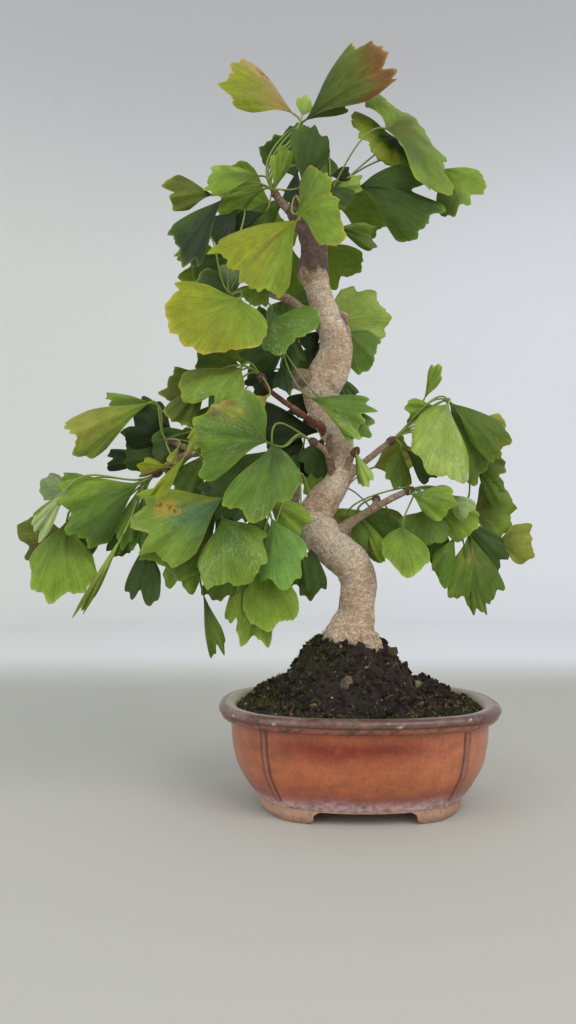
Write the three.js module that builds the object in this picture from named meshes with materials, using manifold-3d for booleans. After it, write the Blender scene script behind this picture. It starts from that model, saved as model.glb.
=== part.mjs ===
// A ginkgo bonsai growing in its glazed pot, built leaf by leaf.
// Millimetres, +Z up. The pot stands on z = 0, its long side lies along X and -Y is the front.
import * as THREE from 'three'
import { mergeVertices } from 'three/addons/utils/BufferGeometryUtils.js'
import Module from 'manifold-3d'

const wasm = await Module()
wasm.setup()
const { Manifold } = wasm

// ---------------------------------------------------------------- driving dimensions

const TOUCH = 0.35          // gap kept between two pieces that touch
const PAST = 1              // how far a cutting shape reaches past the face that it cuts

// Pot: half sizes in plan [half width, half depth] with the height of each ring.
const POT_BASE_Z = 8.5      // underside of the body, above the feet
const POT_FLOOR_Z = 16      // top of the floor inside
const POT_OUTSIDE = [
  [70, 54, POT_BASE_Z], [78, 59, 19], [84.5, 63.5, 31], [87.5, 66, 44],
  [88.5, 67.5, 60], [94.5, 72, 61.5], [97, 74, 65.5], [94, 71.2, 70],
]
const POT_INSIDE = [[83.5, 62.5, 66], [79, 58, 40], [63, 45, POT_FLOOR_Z]]
const LIP_TOP_INSIDE = [87, 65, 70]
const CORNER_X = 0.73       // where the ribs stand, as a share of the half width
const CORNER_Y = 0.80       // and of the half depth
const LONG_BOW = 2.2        // how square the long lobes of the plan are
const SHORT_BOW = 2.6       // and the short ones
const GROOVE = 0.02         // depth of the grooves beside each rib, as a share of the half size
const GROOVE_STATION = 0.975
const RIBBED_LOBE = [-GROOVE_STATION, -0.93, -0.7, -0.35, 0, 0.35, 0.7, 0.93, GROOVE_STATION, 1]
const PLAIN_LOBE = [-0.75, -0.4, 0, 0.4, 0.75, 1]

const FOOT_OUTSIDE = [[67, 52.5, 0], [70, 55, 4], [69, 53.5, POT_BASE_Z + 2]]
const FOOT_INSIDE = [55, 41]
const FOOT_GAP_FRONT = { foot: 37, top: 29, length: 160 }    // half widths of the gap under the long side
const FOOT_GAP_END = { foot: 23, top: 16, length: 220 }      // and under the short side
const FOOT_TOE = 0.5        // height of the upright edge at the end of a foot

const DRAIN_RADIUS = 7
const DRAIN_SIDES = 10
const DRAIN_X = 36
const SCREEN_SIZE = 26
const SCREEN_THICK = 1.2
const SCREEN_HOLE = 5
const SCREEN_PITCH = 7.5

// Soil: a low crown over the whole pot with a steep mound round the trunk.
const SOIL_EDGE_Z = 66.5
const SOIL_CROWN = 11
const MOUND = { x: -6, y: 2 }                 // where the surface is highest, round the trunk
const HEAPS = [
  { ...MOUND, height: 41, reach: 42, power: 3, depthStretch: 1.3 },
  { x: 50, y: 34, height: 9, reach: 24, power: 2.5, depthStretch: 1.6 },
  { x: -58, y: 32, height: 9, reach: 22, power: 2.5, depthStretch: 1.4 },
]
const SOIL_RINGS = [1, 0.82, 0.65, 0.5, 0.37, 0.25, 0.13]
const SOIL_ROUGHNESS = 1.6

// Leaves
const BLADE_THICK = 0.72
const EDGE_WAIST = 0.62     // a fan starts this much narrower, so that its sides are hollow
const CORNER_ROUND = 0.3    // how far the outer corners of a fan draw in
const FAN_SPREAD = 1.25     // how much wider than its two corners a fan opens, since they are rounded
const SPLIT_WIDTH = 0.13    // width of the split at the middle, as a share of the half fan
const LOBE_DEPTH = 0.045    // how deep the waves of the margin are, as a share of the blade
const RIPPLE = 1.6          // how far the margin waves up and down, and its share of a small blade
const RIPPLE_SHARE = 0.05
const LARGE_BLADE = 44      // longer blades have 10 facets along their margin, then 8, 6 and 4
const MIDDLE_BLADE = 30
const SMALL_BLADE = 18
const WAIST_ROW = 0.55      // the blade bends along a row this far out
const STALK_RADIUS = 0.9
const STALK_STEPS = 3
const STALK_PULL = 0.38     // how strongly a stalk keeps the directions of its two ends
const BUD = [[0, 2.4], [2.4, 3.1], [6, 1.2]]        // distance from the wood, radius

// A front view of the plant, 576 columns wide and 1024 rows high, in which many of its blades are placed.
const EYE = [-49, -543.5, 170]
const VIEW_MIDDLE = [288, 512]
const VIEW_FOCUS = 765      // focal length, in columns
const VIEW_TILT = THREE.MathUtils.degToRad(3.3)     // how far the view looks upwards

// ---------------------------------------------------------------- wood: centre points and radii

const TRUNK = [
  [-4, 0, 82, 15], [-5, 0, 96, 22], [-5, 0, 106, 22.5], [-4, 0, 114, 20], [-3, 0, 121, 16],
  [-1, 0, 128, 13.2], [0, 0, 140, 12.4], [1, 1, 153, 13], [-5, 1, 165, 13.4], [-17, 0, 176, 13.4],
  [-27, -1, 187, 14.2], [-30, -2, 198, 12.8], [-24, -3, 209, 11.2], [-16, -4, 220, 9.4], [-12, -3, 231, 8.2],
  [-11, -1, 243, 9.6], [-14, 0, 256, 10.2], [-21, 1, 268, 10.2], [-25, 1, 280, 11.4], [-25, 0, 291, 14],
  [-19, -1, 303, 14], [-15, -1, 316, 12], [-15, -1, 329, 11.2], [-20, -1, 342, 9.8], [-25, 0, 355, 8.8],
  [-28, 0, 367, 9.3], [-31, 0, 377, 11.6], [-30, 0, 386, 9.8], [-31, 0, 398, 9.2], [-37, -1, 410, 7],
  [-46, -1, 420, 5],
]

// Each limb starts inside what it grows from. A limb that bears leaves ends in a spur.
const LIMBS = {
  root_front: [[-6, -8, 104, 9], [-8, -24, 99, 6.5], [-12, -36, 88, 3.5]],
  root_left: [[-14, 0, 108, 9], [-28, -2, 104, 6.5], [-40, -4, 93, 4], [-48, -5, 84, 2.5]],
  root_right: [[6, 0, 108, 8], [18, 2, 100, 5.5], [30, 3, 88, 3]],
  root_back: [[-4, 8, 106, 9], [-2, 24, 99, 6], [2, 36, 88, 3]],
  pruned_stump: [[-15, -1, 324, 9.5], [-12, -2, 336, 6.4], [-10, -3, 345, 4.4]],
  crown_top: [[-44, -1, 418, 5.2], [-52, -3, 424, 4.2], [-57, -4, 430, 3.2]],
  crown_front: [[-36, -2, 408, 5.5], [-40, -9, 415, 4], [-42, -14, 420, 3.1]],
  crown_right: [[-36, 1, 407, 5], [-30, 3, 417, 3.8], [-25, 4, 425, 3.1]],
  crown_bud: [[-41, 0, 414, 4.6], [-40, 1, 425, 3.2], [-39, 1, 435, 1.6]],
  crown_back: [[-38, 1, 410, 5], [-37, 14, 418, 3.8], [-36, 25, 425, 3.1]],
  upper_left: [[-22, 0, 336, 8], [-37, -4, 345, 5], [-49, -8, 353, 4], [-63, -13, 358, 3.5],
    [-75, -18, 357, 3.2], [-82, -22, 353, 3]],
  upper_left_back: [[-49, -8, 353, 3.6], [-58, 10, 361, 3.3], [-66, 25, 369, 3]],
  stub: [[-25, -1, 292, 10], [-35, -5, 296, 6.8], [-43, -8, 298, 5.4]],
  stub_spur: [[-41, -8, 298, 4], [-46, -13, 302, 3.4], [-49, -17, 307, 3]],
  trunk_back: [[-15, 3, 322, 8], [-20, 18, 330, 4.4], [-24, 28, 338, 3.1]],
  back_left: [[-25, 4, 286, 9], [-38, 28, 297, 4.6], [-53, 48, 306, 3.6], [-64, 60, 312, 3]],
  long_shoot: [[-19, -1, 258, 6], [-31, -10, 264, 3.3], [-42, -19, 270, 2.9], [-54, -26, 277, 2.6],
    [-62, -30, 283, 2.5], [-66, -32, 289, 2.4]],
  mid_back: [[-16, 4, 258, 7], [-26, 16, 264, 4], [-33, 24, 270, 3.1]],
  front_shoot: [[-16, -6, 222, 5], [-19, -10, 232, 3.8], [-21, -13, 243, 3.5], [-20, -14, 255, 2.4]],
  front_spur: [[-20, -12, 240, 3.4], [-25, -15, 245, 3.1], [-30, -17, 248, 3]],
  upper_right: [[-11, -2, 223, 7], [3, 2, 235, 3.8], [14, 4, 244, 3.1], [24, 5, 252, 3.1]],
  trunk_bud: [[-8, -7, 233, 4], [-5, -12, 238, 2.8], [-3, -15, 241, 2.6]],
  lower_left: [[-32, -2, 195, 9], [-44, -8, 203, 5.6], [-56, -14, 210, 4.6], [-72, -20, 220, 4.1],
    [-92, -26, 232, 3.7], [-112, -30, 241, 3.4], [-126, -33, 246, 3.1]],
  left_end: [[-110, -30, 240, 3.4], [-123, -36, 235, 3.3], [-134, -40, 226, 3.1]],
  low_spur: [[-72, -20, 220, 3.8], [-80, -26, 215, 3.4], [-86, -31, 212, 3.1]],
  grey_stub: [[-45, -8, 203, 4.6], [-43, -11, 213, 3.7], [-42, -12, 221, 3.1]],
  back_low: [[-27, 4, 200, 9], [-18, 32, 212, 4.6], [-6, 56, 222, 3.1]],
  back_low_left: [[-32, 4, 198, 8], [-54, 28, 212, 4.4], [-80, 46, 226, 3.6], [-98, 54, 236, 3.1]],
  lower_right: [[-16, -1, 184, 8], [-4, -3, 194, 5], [12, -6, 204, 3.9], [25, -8, 211, 3.4],
    [34, -9, 215, 3.2]],
  right_inner: [[12, -6, 204, 3.8], [14, 4, 208, 3.4], [15, 11, 211, 3]],
  right_back: [[-6, 4, 168, 8], [18, 26, 182, 4.8], [44, 34, 193, 4], [66, 31, 201, 3.5], [78, 26, 206, 3.1]],
}

// ---------------------------------------------------------------- leaves, blade by blade
// A blade is given by the end of its stalk and the two outer corners of its fan, and by how far it cups
// towards the front, arches along its length, reaches past its corners and splits at the middle. The three
// places of a sighted blade are the column and row at which the front view shows them, and their depth y.

// What the front view shows at a column and row, at the depth y, to the whole millimetre.
function sightPlace([column, row, y]) {
  const away = y - EYE[1]
  const up = away * Math.tan(Math.atan((VIEW_MIDDLE[1] - row) / VIEW_FOCUS) + VIEW_TILT)
  const reach = away * Math.cos(VIEW_TILT) + up * Math.sin(VIEW_TILT)
  const right = (column - VIEW_MIDDLE[0]) * reach / VIEW_FOCUS
  return [Math.round(EYE[0] + right), y, Math.round(EYE[2] + up)]
}

const sighted = (base, first, second, bends) => [...[base, first, second].map(sightPlace), bends]

const SPRAYS = [
  { name: 'leaves_crown_top', limb: 'crown_top', blades: [
    sighted([293.8, 113.8, -5], [231, 104.6, -24], [241.5, 56.8, -6],
      { cup: 6, arch: 4, reach: 0.02, split: 0.06 }),
    [[-39, -8, 487], [-43, -12, 498], [-31, -8, 494], { cup: 2, reach: 0.2 }],
    sighted([305.3, 120, -6], [351, 45.5, -10], [390.4, 90.5, -16],
      { cup: 8, arch: 5, reach: 0.07, split: 0.03 }),
    sighted([302.6, 183.8, -12], [292.8, 126.5, -16], [329.8, 156, -22],
      { cup: 5, arch: 3, reach: 0.08 }),
    [[-59, -6, 433], [-62, -10, 453], [-45, 2, 464], { cup: 4, arch: 2, reach: 0.15 }],
    sighted([213.6, 195.3, -14], [176, 211.6, -20], [170.1, 174, -18],
      { cup: 4, arch: 3, reach: 0.02, split: 0.08 }),
    sighted([261, 175.6, -16], [215, 195, -24], [207, 163.5, -18], { cup: -4, arch: 4, reach: 0.03 }),
    [[-67, 0, 437], [-92, 8, 416], [-99, 4, 436], { cup: 3, arch: 2, reach: 0.1 }],
    sighted([221.8, 200, -24], [173, 230, -32], [196, 268, -34],
      { cup: 5, arch: 4, reach: 0.1, split: 0.08 }),
    [[-66, -2, 419], [-88, 6, 398], [-90, 2, 421], { cup: 3, arch: 2, reach: 0.1 }],
  ] },
  { name: 'leaves_crown_front', limb: 'crown_front', blades: [
    sighted([296.4, 213.3, -28], [315, 160, -36], [347, 250, -46],
      { cup: 4, arch: 2, reach: -0.25, split: 0.04 }),
    sighted([298.7, 219.8, -30], [216.5, 244.4, -44], [274.5, 306, -54],
      { cup: 9, arch: 5, reach: 0.02, split: 0.08 }),
  ] },
  { name: 'leaves_crown_right', limb: 'crown_right', blades: [
    sighted([385, 129, -10], [371, 98, 6], [448, 207, -20],
      { cup: 6, arch: 4, reach: -0.16, split: 0.04 }),
    sighted([396.9, 138, 8], [345.5, 115.7, 4], [418.2, 183.8, 2],
      { cup: 4, arch: 3, reach: -0.3, split: 0.06 }),
    sighted([358.6, 186.4, 6], [393.6, 167.5, 0], [416.5, 244.4, -2],
      { cup: 5, arch: 4, reach: 0.25, split: 0.3 }),
    sighted([336.4, 228, 4], [370.7, 223.7, -2], [371.7, 252.5, 0],
      { cup: 3, arch: 3, reach: 0.05, split: 0.1 }),
    [[-18, 4, 449], [-8, 3, 456], [-5, 4, 445], { cup: 1, reach: 0.15 }],
    [[-16, 8, 440], [1, 2, 451], [2, 6, 437], { cup: 2, arch: 1, reach: 0.1 }],
    [[-21, -2, 439], [-2, -6, 433], [-14, -6, 418], { cup: 2, arch: 1, reach: 0.12 }],
    sighted([439.5, 169.1, 24], [477.1, 174, 18], [442.7, 217.2, 16],
      { cup: 4, arch: 3, reach: 0.15, split: 0.08 }),
  ] },
  { name: 'leaves_upper_left', limb: 'upper_left', blades: [
    [[-80, -54, 338], [-120, -58, 342], [-65, -58, 316], { cup: 7, arch: 4, reach: 0.48, split: 0.06 }],
    [[-62, -36, 354], [-82, -42, 347], [-64, -44, 336], { cup: 2, arch: 1, reach: 0.12 }],
    [[-60, -22, 341], [-65, -24, 332], [-55, -24, 331], { cup: 1, reach: 0.15 }],
    [[-88, -24, 353], [-112, -14, 352], [-104, -18, 371], { cup: 3, arch: 2, reach: 0.1 }],
    [[-86, -18, 350], [-98, -8, 372], [-82, -10, 373], { cup: 3, arch: 2, reach: 0.1 }],
    [[-112, -8, 398], [-130, -6, 388], [-124, -6, 381], { cup: 1, arch: 1, reach: 0.05 }],
  ] },
  { name: 'leaves_mid_front', limb: 'stub_spur', blades: [
    [[-61, -34, 331], [-28, -38, 335], [-67, -42, 307], { cup: 4, arch: 2, reach: 0.1, split: 0.05 }],
    [[-50, -20, 331], [-38, -22, 309], [-53, -22, 300], { cup: 2, arch: 1, reach: 0.1 }],
    [[-54, -26, 300], [-60, -36, 284], [-46, -36, 283], { cup: 2, arch: 1, reach: 0.1 }],
    [[-34, -26, 278], [3, -28, 277], [-5, -32, 251], { cup: 4, arch: 3, reach: 0.12, split: 0.2 }],
  ] },
  { name: 'leaves_trunk_back', limb: 'trunk_back', blades: [
    [[-16, 32, 347], [-8, 32, 371], [21, 34, 337], { cup: 4, arch: 2, reach: 0.3 }],
    [[-8, 18, 338], [15, 24, 336], [2, 22, 304], { cup: 3, arch: 2, reach: 0.05 }],
    [[-12, 23, 306], [4, 23, 293], [-8, 21, 284], { cup: 2, arch: 1, reach: 0.1 }],
  ] },
  { name: 'leaves_long_shoot', limb: 'long_shoot', blades: [
    sighted([241.6, 367, -52], [173.5, 383.5, -54], [241, 396.4, -56],
      { cup: 6, arch: 4, reach: 0.1, split: 0.1 }),
    [[-102, -42, 287], [-133, -46, 264], [-112, -46, 254], { cup: 3, arch: 3, reach: 0.05 }],
    [[-96, -58, 268], [-114, -60, 244], [-104, -62, 236], { cup: 2, arch: 2, reach: 0.05 }],
    [[-62, -38, 277], [-74, -40, 275], [-68, -40, 264], { cup: 1, reach: 0.1 }],
  ] },
  { name: 'leaves_front_spur', limb: 'front_spur', blades: [
    sighted([268, 442, -68], [257.5, 401.5, -70], [192, 474, -76],
      { cup: 5, arch: 4, reach: 0.1, split: 0.06 }),
    sighted([272.5, 443.5, -70], [224.5, 508, -80], [295, 467.5, -72],
      { cup: 6, arch: 4, reach: 0.22, split: 0.05 }),
  ] },
  { name: 'leaves_mid_back', limb: 'mid_back', blades: [
    [[-40, 20, 264], [-60, 14, 242], [-35, 14, 226], { cup: 2, arch: 2, reach: 0.1 }],
    [[-43, 26, 282], [-68, 20, 268], [-57, 22, 246], { cup: 2, arch: 2, reach: 0.1 }],
  ] },
  { name: 'leaves_left_upper', limb: 'lower_left', blades: [
    sighted([149.5, 402.4, -50], [71, 417.5, -50], [84, 465, -52],
      { cup: 5, arch: 4, reach: 0.03, split: 0.05 }),
    [[-139, -36, 272], [-172, -30, 281], [-164, -38, 266], { cup: 2, arch: 2, reach: 0.03 }],
    [[-127, -22, 252], [-140, -26, 278], [-155, -30, 244], { cup: 3, arch: 3, reach: 0.08, split: 0.1 }],
    [[-138, -22, 238], [-170, -22, 243], [-169, -26, 227], { cup: 2, arch: 2, reach: 0.03 }],
    [[-120, -46, 243], [-128, -50, 232], [-121, -50, 229], { cup: 1, reach: 0.1 }],
    [[-126, -46, 228], [-141, -50, 234], [-144, -50, 222], { cup: 1, reach: 0.1 }],
  ] },
  { name: 'leaves_left_end', limb: 'left_end', blades: [
    sighted([140.5, 482.5, -54], [70.9, 484, -60], [95.5, 550, -60],
      { cup: 6, arch: 4, reach: 0.1, split: 0.05 }),
    sighted([70, 485.5, -66], [34, 514, -68], [41.5, 541, -64], { cup: -3, arch: 4, reach: 0.05 }),
    [[-192, -42, 214], [-204, -40, 225], [-210, -44, 207], { cup: 2, reach: 0.1 }],
    [[-176, -38, 222], [-198, -34, 226], [-197, -38, 213], { cup: 2, reach: 0.05 }],
    [[-197, -34, 186], [-219, -34, 198], [-215, -38, 166], { cup: 3, arch: 1, reach: 0.08 }],
    sighted([67, 520, -46], [30.4, 563.5, -48], [94.9, 571, -50],
      { cup: 6, arch: 4, reach: 0.35, split: 0.05 }),
    [[-152, -60, 186], [-181, -68, 136], [-170, -66, 142], { cup: 2, arch: 3, reach: 0.02 }],
    [[-150, -38, 200], [-169, -36, 176], [-151, -38, 175], { cup: 2, arch: 2, reach: 0.05 }],
    [[-140, -40, 180], [-153, -38, 158], [-131, -42, 148], { cup: 3, arch: 3, reach: 0.35, split: 0.15 }],
  ] },
  { name: 'leaves_low_left', limb: 'low_spur', blades: [
    sighted([225.4, 496.6, -62], [147, 496, -64], [178, 565.6, -68],
      { cup: 6, arch: 4, reach: 0.15, split: 0.05 }),
    sighted([221.5, 517, -58], [199.6, 577, -64], [260.5, 535, -62],
      { cup: 6, arch: 4, reach: 0.36, split: 0.06 }),
    [[-112, -72, 233], [-134, -76, 208], [-126, -76, 203], { cup: 2, arch: 3, reach: 0.03 }],
    [[-112, -44, 183], [-130, -44, 158], [-107, -44, 153], { cup: 2, arch: 2, reach: 0.12, split: 0.15 }],
    [[-104, -46, 146], [-100, -46, 107], [-87, -46, 112], { cup: 2, arch: 2, reach: 0.03, split: 0.1 }],
  ] },
  { name: 'leaves_low_mid', limb: 'grey_stub', blades: [
    sighted([270.4, 517.6, -48], [305.5, 547, -50], [263, 583, -54],
      { cup: 5, arch: 4, reach: 0.2, split: 0.05 }),
    [[-66, -40, 168], [-77, -44, 137], [-45, -44, 145], { cup: 3, arch: 3, reach: 0.4, split: 0.05 }],
    [[-78, -34, 165], [-90, -40, 134], [-74, -40, 128], { cup: 2, arch: 2, reach: 0.15, split: 0.1 }],
    [[-40, -26, 180], [-49, -26, 152], [-29, -24, 152], { cup: 2, arch: 2, reach: 0.1, split: 0.2 }],
  ] },
  { name: 'leaves_trunk_bud', limb: 'trunk_bud', blades: [
    [[-3, -18, 243], [10, -22, 224], [0, -20, 220], { cup: 3, arch: 2, reach: 0.1 }],
  ] },
  { name: 'leaves_right_upper', limb: 'upper_right', blades: [
    sighted([448.4, 403, -6], [424, 414, -10], [463.2, 477, -18],
      { cup: 6, arch: 4, reach: 0.36, split: 0.04 }),
    sighted([451.5, 403, -4], [499.1, 423, -6], [486.4, 460, -10],
      { cup: 5, arch: 4, reach: 0.12, split: 0.05 }),
    sighted([424, 399, 14], [431.9, 359.6, 16], [440, 382.8, 14], { cup: 4, arch: 2, reach: 0.05 }),
    [[60, 10, 279], [38, 4, 284], [37, 8, 265], { cup: 4, arch: 2, reach: 0.05 }],
    [[86, 10, 262], [99, 8, 272], [106, 10, 244], { cup: 2, arch: 2, reach: 0.15 }],
    [[36, 6, 247], [57, 2, 240], [50, 6, 221], { cup: 2, arch: 2, reach: 0.05 }],
    [[32, 0, 246], [21, -2, 232], [38, -2, 219], { cup: 2, arch: 2, reach: 0.2 }],
  ] },
  { name: 'leaves_right_lower', limb: 'lower_right', blades: [
    sighted([411, 493.2, -16], [451.5, 487.5, -22], [431.5, 518, -22],
      { cup: 3, arch: 3, reach: 0.2, split: 0.05 }),
    sighted([448.4, 495, -12], [473.7, 501, -14], [456.8, 518, -14], { cup: 2, arch: 2, reach: 0.1 }),
    [[47, -6, 203], [64, -8, 188], [29, -8, 192], { cup: 3, arch: 2, reach: 0.15, split: 0.06 }],
    sighted([402.9, 525.5, -16], [385.5, 540, -20], [426.2, 552, -20],
      { cup: 3, arch: 3, reach: 0.72, split: 0.03 }),
    sighted([454.7, 536, -2], [431.9, 558.3, -4], [451.5, 584.7, -4], { cup: 3, arch: 3, reach: 0.12 }),
    [[80, 2, 187], [64, 0, 152], [103, 2, 148], { cup: 5, arch: 4, reach: 0.25, split: 0.5 }],
  ] },
  { name: 'leaves_right_far', limb: 'right_back', blades: [
    sighted([470.6, 453.6, 12], [493.8, 508.6, 10], [500, 478, 12], { cup: 3, arch: 3, reach: 0.02 }),
    [[86, 18, 202], [102, 20, 228], [105, 18, 181], { cup: 3, arch: 2, reach: 0.02 }],
    sighted([497, 541.4, 14], [523, 521.3, 14], [526, 567, 14], { cup: 3, arch: 2, split: 0.05 }),
  ] },
  { name: 'leaves_right_inner', limb: 'right_inner', blades: [
    [[24, 24, 201], [-12, 26, 204], [-5, 22, 189], { cup: 2, arch: 2, reach: 0.03 }],
    [[2, 12, 202], [22, 8, 178], [15, 9, 164], { cup: 3, arch: 3, reach: 0.03 }],
  ] },
]

// The sprays behind the tree are rosettes: blades round a spur, drawn by a seeded rule. Each leaf stands
// at its turn round the spur, leans outwards and hangs a little.
const ROSETTE = {
  turnDraw: 0.35, stalkDraw: [0.8, 1.2], lengthDraw: [0.8, 1.15], halfAngle: [0.6, 0.85],
  forward: 0.55, sideways: 0.8, lean: 0.35, hang: 0.35, cup: -4, arch: -4, reach: 0.12, split: 0.25,
}
const ROSETTES = [
  { name: 'leaves_back_crown', limb: 'crown_back', blades: 5, stalk: 34, length: 38, seed: 11 },
  { name: 'leaves_back_upper_left', limb: 'upper_left_back', blades: 4, stalk: 30, length: 36, seed: 23 },
  { name: 'leaves_back_left', limb: 'back_left', blades: 5, stalk: 30, length: 36, seed: 38 },
  { name: 'leaves_back_low', limb: 'back_low', blades: 5, stalk: 30, length: 36, seed: 41 },
  { name: 'leaves_back_low_left', limb: 'back_low_left', blades: 5, stalk: 34, length: 38, seed: 53 },
]

// ---------------------------------------------------------------- materials

const finish = (color, roughness) => new THREE.MeshStandardMaterial({ color, roughness, metalness: 0 })
const MATERIALS = {
  glaze: finish(0xa85a34, 0.3),
  soil: finish(0x2b2620, 0.95),
  bark: finish(0xb59a80, 0.8),
  leaf: finish(0x6f9130, 0.55),
  screen: finish(0x20221f, 0.6),
}

// ---------------------------------------------------------------- small helpers

const vec = ([x, y, z]) => new THREE.Vector3(x, y, z)
const mix = (a, b, share) => a + (b - a) * share

// A repeatable number from 0 to 1 for a seed.
function draw(seed) {
  const value = Math.sin(seed * 12.9898) * 43758.5453
  return value - Math.floor(value)
}

function toManifold(geometry) {
  const bare = geometry.clone()
  bare.deleteAttribute('normal')
  bare.deleteAttribute('uv')
  const merged = mergeVertices(bare, 1e-4)
  return new Manifold(new wasm.Mesh({
    numProp: 3,
    vertProperties: new Float32Array(merged.attributes.position.array),
    triVerts: new Uint32Array(merged.index.array),
  }))
}

function fromManifold(solid) {
  const { vertProperties, triVerts } = solid.getMesh()
  const geometry = new THREE.BufferGeometry()
  geometry.setAttribute('position', new THREE.BufferAttribute(new Float32Array(vertProperties), 3))
  geometry.setIndex(new THREE.BufferAttribute(new Uint32Array(triVerts), 1))
  geometry.computeVertexNormals()
  return geometry
}

// A closed solid through a stack of rings with the same number of points, each turning the same way
// about the direction of travel, closed by a point at either end.
function loft(first, rings, last) {
  const count = rings[0].length
  const points = [first, ...rings.flat(), last]
  const at = (ring, i) => 1 + ring * count + (i % count)
  const end = points.length - 1
  const faces = []
  for (let i = 0; i < count; i++) {
    faces.push(0, at(0, i + 1), at(0, i))
    faces.push(end, at(rings.length - 1, i), at(rings.length - 1, i + 1))
    for (let ring = 0; ring < rings.length - 1; ring++) {
      faces.push(at(ring, i), at(ring, i + 1), at(ring + 1, i + 1))
      faces.push(at(ring, i), at(ring + 1, i + 1), at(ring + 1, i))
    }
  }
  const geometry = new THREE.BufferGeometry()
  geometry.setAttribute('position', new THREE.Float32BufferAttribute(points.flatMap(p => p.toArray()), 3))
  geometry.setIndex(faces)
  return toManifold(geometry)
}

// A tapered tube along points [x, y, z, radius]. grow makes it thicker and longer at both ends.
function tube(stations, sides, grow = 0, bumps = 0) {
  const centres = stations.map(vec)
  const along = i => centres[Math.min(i + 1, centres.length - 1)].clone()
    .sub(centres[Math.max(i - 1, 0)]).normalize()
  const lastIndex = centres.length - 1
  centres[0].addScaledVector(along(0), -grow)
  centres[lastIndex].addScaledVector(along(lastIndex), grow)
  let across = new THREE.Vector3(0.3, 1, 0.1)
  const rings = centres.map((centre, i) => {
    const tangent = along(i)
    across = across.clone().addScaledVector(tangent, -across.dot(tangent)).normalize()
    const up = new THREE.Vector3().crossVectors(tangent, across)
    const ring = []
    for (let k = 0; k < sides; k++) {
      const angle = 2 * Math.PI * k / sides
      const radius = stations[i][3] * (1 + bumps * (draw(i * sides + k) - 0.5)) + grow
      ring.push(centre.clone().addScaledVector(across, radius * Math.cos(angle))
        .addScaledVector(up, radius * Math.sin(angle)))
    }
    return ring
  })
  return loft(centres[0], rings, centres[lastIndex])
}

// A bar with its profile in X and Z, run along Y and centred on it.
function barAlongY(shape, length) {
  const geometry = new THREE.ExtrudeGeometry(shape, { depth: length, bevelEnabled: false, curveSegments: 3 })
  geometry.rotateX(Math.PI / 2)
  geometry.translate(0, length / 2, 0)
  return toManifold(geometry)
}

function block(width, depth, height, x, y, z) {
  return toManifold(new THREE.BoxGeometry(width, depth, height).translate(x, y, z))
}

// ---------------------------------------------------------------- pot

// The plan of the pot: four bowed lobes, which meet at the corners in a rib between two grooves.
function potOutline([halfWidth, halfDepth, z], stations = PLAIN_LOBE, groove = 0) {
  const cornerX = halfWidth * CORNER_X
  const cornerY = halfDepth * CORNER_Y
  const long = u => [cornerX * u, -cornerY - (halfDepth - cornerY) * (1 - Math.abs(u) ** LONG_BOW)]
  const short = u => [cornerX + (halfWidth - cornerX) * (1 - Math.abs(u) ** SHORT_BOW), cornerY * u]
  const points = []
  for (const turn of [1, -1]) {
    for (const lobe of [long, short]) {
      for (const station of stations) {
        const [x, y] = lobe(station)
        const scale = turn * (Math.abs(station) === GROOVE_STATION ? 1 - groove : 1)
        points.push(new THREE.Vector3(x * scale, y * scale, z))
      }
    }
  }
  return points
}

// The arch between two feet: a bracket line that rises from the table to the underside of the pot.
function footGap({ foot, top, length }) {
  const low = [foot - (foot - top) / 4, POT_BASE_Z * 0.6]
  const high = [top + (foot - top) / 3, POT_BASE_Z * 0.8]
  const shape = new THREE.Shape()
  shape.moveTo(-foot, -PAST)
  shape.lineTo(-foot, FOOT_TOE)
  shape.bezierCurveTo(-low[0], low[1], -high[0], high[1], -top, POT_BASE_Z)
  shape.lineTo(top, POT_BASE_Z)
  shape.bezierCurveTo(high[0], high[1], low[0], low[1], foot, FOOT_TOE)
  shape.lineTo(foot, -PAST)
  return barAlongY(shape, length)
}

function makePot() {
  const rings = [
    ...POT_OUTSIDE.map(size => potOutline(size, RIBBED_LOBE, GROOVE)),
    potOutline(LIP_TOP_INSIDE, RIBBED_LOBE, GROOVE / 2),
    ...POT_INSIDE.map(size => potOutline(size, RIBBED_LOBE)),
  ]
  const body = loft(new THREE.Vector3(0, 0, POT_BASE_Z), rings, new THREE.Vector3(0, 0, POT_FLOOR_Z))
  const footTop = FOOT_OUTSIDE[FOOT_OUTSIDE.length - 1][2]
  const footBlock = loft(new THREE.Vector3(0, 0, 0), FOOT_OUTSIDE.map(size => potOutline(size)),
    new THREE.Vector3(0, 0, footTop))
  const footWell = loft(new THREE.Vector3(0, 0, -PAST),
    [-PAST, POT_BASE_Z].map(z => potOutline([...FOOT_INSIDE, z])), new THREE.Vector3(0, 0, POT_BASE_Z))
  const feet = footBlock.subtract(footWell).subtract(footGap(FOOT_GAP_FRONT))
    .subtract(footGap(FOOT_GAP_END).rotate([0, 0, 90]))
  const drains = [-DRAIN_X, DRAIN_X].map(x => toManifold(
    new THREE.CylinderGeometry(DRAIN_RADIUS, DRAIN_RADIUS, 3 * POT_FLOOR_Z, DRAIN_SIDES).rotateX(Math.PI / 2)
      .translate(x, 0, POT_FLOOR_Z)))
  return body.add(feet).subtract(Manifold.union(drains))
}

// ---------------------------------------------------------------- drain screens

function makeScreen(x) {
  const middle = POT_FLOOR_Z + TOUCH + SCREEN_THICK / 2
  const plate = block(SCREEN_SIZE, SCREEN_SIZE, SCREEN_THICK, x, 0, middle)
  const holes = []
  for (const row of [-1, 0, 1]) {
    for (const column of [-1, 0, 1]) {
      holes.push(block(SCREEN_HOLE, SCREEN_HOLE, 3 * SCREEN_THICK,
        x + column * SCREEN_PITCH, row * SCREEN_PITCH, middle))
    }
  }
  return plate.subtract(Manifold.union(holes))
}

// ---------------------------------------------------------------- wood

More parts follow.
